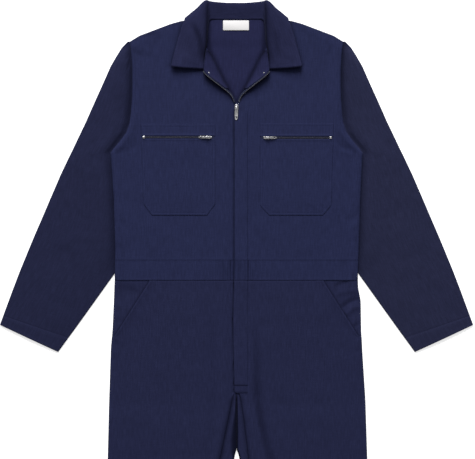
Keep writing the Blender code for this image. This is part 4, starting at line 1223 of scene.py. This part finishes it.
def finishPiece(name, shape, looks, nodes, body="suit"):
    mesh = bpy.data.meshes.new(name)
    shape.to_mesh(mesh)
    shape.free()
    mesh.shade_smooth()
    for look in looks:
        mesh.materials.append(look)
    piece = bpy.data.objects.new(name, mesh)
    bpy.context.scene.collection.objects.link(piece)
    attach(piece, body)
    if nodes:
        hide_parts(*nodes)
    return piece


def rounded(shape, edges, width, segments):
    bmesh.ops.bevel(
        shape, geom=edges, offset=width * mm, affect="EDGES", segments=segments, profile=0.5, material=-1,
        clamp_overlap=True,
    )


def boxAt(shape, centre, size):
    place = Matrix.Translation(centre) @ Matrix.Diagonal((*size, 1))
    bmesh.ops.create_cube(shape, size=1, matrix=place)


def softenedCopy(name, node, width, body="suit", lift=0.0):
    shape = bmesh.new()
    shape.from_mesh(frame["nodes"][node].data)
    bmesh.ops.remove_doubles(shape, verts=shape.verts, dist=0.02 * mm)
    bmesh.ops.dissolve_limit(shape, angle_limit=math.radians(2), verts=shape.verts, edges=shape.edges)
    rounded(shape, [e for e in shape.edges if e.calc_face_angle(0) > math.radians(28)], width, 3)
    bmesh.ops.translate(shape, vec=(0, 0, lift * mm), verts=shape.verts)
    piece = finishPiece(name, shape, [metalLook], [node], body)
    piece.data.set_sharp_from_angle(angle=math.radians(50))


def beadsAlong(shape, path, pitch, size, look=0):
    # Small smooth beads along a path of world points, such as the turns of a zip's coil or stitches.
    path, pitch = np.array(path), pitch * mm
    lengths = np.concatenate([[0], np.cumsum(np.linalg.norm(np.diff(path, axis=0), axis=1))])
    count = max(1, int(lengths[-1] // pitch))
    batchMesh = bpy.data.meshes.new("batch")
    batch = bmesh.new()
    scale = Matrix.Diagonal((*(value * mm for value in size), 1.0))
    for i in range(count):
        here = (i + 0.5) * lengths[-1] / count
        centre, ahead, behind = (
            Vector([np.interp(place, lengths, path[:, k]) for k in range(3)])
            for place in (here, here + pitch * 0.2, here - pitch * 0.2)
        )
        turn = (ahead - behind).normalized().to_track_quat("X", "Z").to_matrix().to_4x4()
        place = Matrix.Translation(centre) @ turn @ scale
        bmesh.ops.create_uvsphere(batch, u_segments=6, v_segments=4, radius=1.0, matrix=place)
        if len(batch.faces) > 700 or i == count - 1:
            for face in batch.faces:
                face.material_index = look
            batch.to_mesh(batchMesh)
            shape.from_mesh(batchMesh)
            batch.clear()
    batch.free()
    bpy.data.meshes.remove(batchMesh)


zips = {
    "openPitch": 1.3, "openBead": (0.50, 0.50, 0.55), "openTape": (2.6, 2.2, -0.9),
    "closedPitch": 1.6, "closedBead": (0.6, 2.0, 0.5), "closedStart": 224, "closedEnd": 813,
    "closedMiddle": 2.75, "closedWidth": 12.5,
    "pocketPitch": 1.45, "pocketBead": (0.6, 0.95, 0.55), "pocketWidth": 8.0, "pocketUp": 6.15,
    "tape": 0.5,
}


def openZip(side):
    sign = signOf[side]
    controls = [world(sign * out, down, up + lapelLift(down)) for out, down, up in zipHalf.rows]
    path = through([tuple(point) for point in controls], [8] * (len(controls) - 1))
    shape = bmesh.new()
    beadsAlong(shape, path, zips["openPitch"], zips["openBead"], 1)
    # the tape from under the lapel's edge to the coil
    aside, along, up = zips["openTape"]
    inner = [point + Vector((-sign * aside, along, up)) * mm for point in map(Vector, path)]
    spine = [shape.verts.new(point) for point in path]
    edges = [shape.edges.new(pair) for pair in zip(spine, spine[1:])]
    pushed = bmesh.ops.extrude_edge_only(shape, edges=edges)["geom"]
    for vertex in pushed:
        if isinstance(vertex, bmesh.types.BMVert):
            nearest = min(range(len(path)), key=lambda k: (Vector(path[k]) - vertex.co).length)
            vertex.co = inner[nearest]
    tapeFaces = [face for face in pushed if isinstance(face, bmesh.types.BMFace)]
    bmesh.ops.recalc_face_normals(shape, faces=tapeFaces)
    bmesh.ops.solidify(shape, geom=tapeFaces, thickness=zips["tape"] * mm)
    finishPiece("zipHalf." + side, shape, [tapeLook, coilLook], ["zip_open_" + side])


def closedZip():
    downs = np.linspace(zips["closedStart"], zips["closedEnd"], 90)
    level = underlap.at("level", downs) + 0.45 + 0.55
    shape = bmesh.new()
    bmesh.ops.create_grid(shape, x_segments=4, y_segments=len(downs) - 1, size=0.5)
    for vertex in shape.verts:
        row = round((0.5 - vertex.co.y) * (len(downs) - 1))
        out = zips["closedMiddle"] + vertex.co.x * zips["closedWidth"]
        vertex.co = world(out, downs[row], level[row])
    bmesh.ops.solidify(shape, geom=shape.faces[:], thickness=zips["tape"] * mm)
    path = [tuple(world(2.5, down, up + 0.5)) for down, up in zip(downs, level)]
    beadsAlong(shape, path, zips["closedPitch"], zips["closedBead"], 1)
    finishPiece("zipClosed", shape, [tapeLook, coilLook], ["zip_closed"])


def pocketZip(side):
    sign, pocket = signOf[side], pockets[side]
    slit = pocket["slit"]
    middle = sign * (pocket["inner"] + pocket["outer"]) / 2
    length = pocket["outer"] - pocket["inner"] - 6
    shape = bmesh.new()
    size = (length * mm, zips["pocketWidth"] * mm, zips["tape"] * mm)
    boxAt(shape, world(middle, slit, zips["pocketUp"]), size)
    rounded(shape, shape.edges[:], 0.15, 2)
    coilUp = zips["pocketUp"] + 0.6
    start, end = sign * (pocket["slider"] + 5), sign * (pocket["outer"] - 8)
    for aside in (-0.85, 0.85):
        path = [tuple(world(x, slit + aside, coilUp)) for x in np.linspace(start, end, 40)]
        beadsAlong(shape, path, zips["pocketPitch"], zips["pocketBead"], 1)
    looks = [tapeLook, pocketCoilLook]
    finishPiece("pocketZip." + side, shape, looks, ["pocket_zip_" + side])


def neckLabel():
    low, high = map(Vector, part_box("neck_label"))
    shape = bmesh.new()
    boxAt(shape, (low + high) / 2, high - low)
    upright = [e for e in shape.edges if abs((e.verts[0].co - e.verts[1].co).normalized().z) > 0.9]
    rounded(shape, upright, 1.5, 5)
    rounded(shape, [e for e in shape.edges if e.calc_face_angle(0) > 1.2], 0.3, 2)
    bmesh.ops.translate(shape, vec=(0, 0, 0.5 * mm), verts=shape.verts)
    piece = finishPiece("neckLabel", shape, [labelLook], ["neck_label"])
    piece.data.set_sharp_from_angle(angle=math.radians(40))


for side in bothSides:
    openZip(side)
    pocketZip(side)
    softenedCopy("topStop." + side, "zip_stop_" + side, 0.4, lift=1.5)
    softenedCopy("pocketStop." + side, "pocket_stop_" + side, 0.45)
closedZip()
neckLabel()
for which in ("main", "pocket_right", "pocket_left"):
    tidyName = which.replace("_", ".")
    softenedCopy("slider." + tidyName, "slider_" + which, 0.35)
    softenedCopy("pull." + tidyName, "pull_" + which, 0.28, body="pull_" + which)
print("zips, sliders and label made")


# stitches

stitch = {"pitch": 3.1, "size": (1.15, 0.24, 0.20), "proud": 0.02}


def stitchRow(shape, side, corners, level, lower=0.0):
    # corners are (out, down) in order; the row follows the cloth's top between them
    line = []
    for (outA, downA), (outB, downB) in zip(corners, corners[1:]):
        count = max(2, round(math.hypot(outB - outA, downB - downA) / 4))
        for i in range(count):
            t = i / count
            line.append((outA + (outB - outA) * t, downA + (downB - downA) * t))
    line.append(corners[-1])
    line = np.array(line)
    ups = level(side, line[:, 0], line[:, 1]) + suit["wall"] / 2 + stitch["proud"] - lower
    path = [tuple(world(signOf[side] * out, down, up)) for (out, down), up in zip(line, ups)]
    beadsAlong(shape, path, stitch["pitch"], stitch["size"])


def stitchPiece(name, rows):
    shape = bmesh.new()
    for row in rows:
        stitchRow(shape, *row)
    finishPiece(name, shape, [thread], ())


def pocketLine(side, part, inset):
    pocket = pockets[side]
    slit, top, bottom = pocket["slit"], pocket["top"], pocket["bottom"]
    inner, outer = pocket["inner"] + inset, pocket["outer"] - inset
    if part == "top":
        return [(inner, slit - 6), (inner, top + inset), (outer, top + inset), (outer, slit - 6)]
    atCorner = inset * 0.4
    cornerDown = pocket["chamferDown"] - atCorner
    return [
        (inner, slit + 6), (inner, cornerDown), (pocket["lowInner"] + atCorner, bottom - inset),
        (pocket["lowOuter"] - atCorner, bottom - inset), (pocket["outerLow"] - inset, cornerDown),
        (outer, slit + 6),
    ]


def lineDown(outAt, start, end, count):
    return [(float(outAt(down)), float(down)) for down in np.linspace(start, end, count)]


for side in bothSides:
    patchRows = [
        (side, pocketLine(side, part, inset), pocketLevel, lower)
        for inset, lower in ((pocketRows["inner"], 0.1), (pocketRows["edge"], 0.2))
        for part in ("top", "low")
    ]
    stitchPiece("stitches.pocket." + side, patchRows)
    bandDowns = suit["waistTop"] + 3.2, suit["waistBottom"] - 3.2
    bandLines = [[(30.0, down), (252, down)] for down in bandDowns]
    bandLines += [[(seam, 558), (seam, 597)] for seam in waistSeams[side]]
    stitchPiece("stitches.waistband." + side, [(side, line, waistbandLevel, 0.15) for line in bandLines])

    def besideInseam(down):
        return legs.at("seam" + side.capitalize(), down) + 2.2

    hemDown = suit["length"] - suit["hem"]
    slanted = lineDown(lambda down: slant.at("out", down) - 5.5 / suit["slantSlope"], 603, 714, 12)
    hemOuts = float(besideInseam(hemDown)) + 0.8, float(sides.at(side, hemDown)) - 3
    stitchPiece("stitches.trousers." + side, [
        (side, slanted, frontLevel, 0.2), (side, lineDown(besideInseam, 862, 1584, 60), frontLevel),
        (side, [(hemOut, hemDown) for hemOut in hemOuts], frontLevel, 0.2),
    ])
    armholeRow = lineDown(lambda down: bodyEdge(side, down) - 7.0, 104, 322, 40)
    stitchPiece("stitches.armhole." + side, [(side, armholeRow, frontLevel)])
stitchOut = placket["stitchOut"]
placketLines = [
    ([(stitchOut, 236), (stitchOut, 553)], 0.25),
    ([(stitchOut, 602), (stitchOut, 818), (21.0, 826), (12.0, 832)], 0.2),
    ([(0.5, placket["topBar"]), (24.0, placket["topBar"] - 0.5)], 0.5),
    ([(0.5, placket["lowBar"]), (24.0, placket["lowBar"] - 0.5)], 0.4),
]
stitchPiece("stitches.placket", [("left", line, frontLevel, lower) for line, lower in placketLines])
print("stitches sewn")
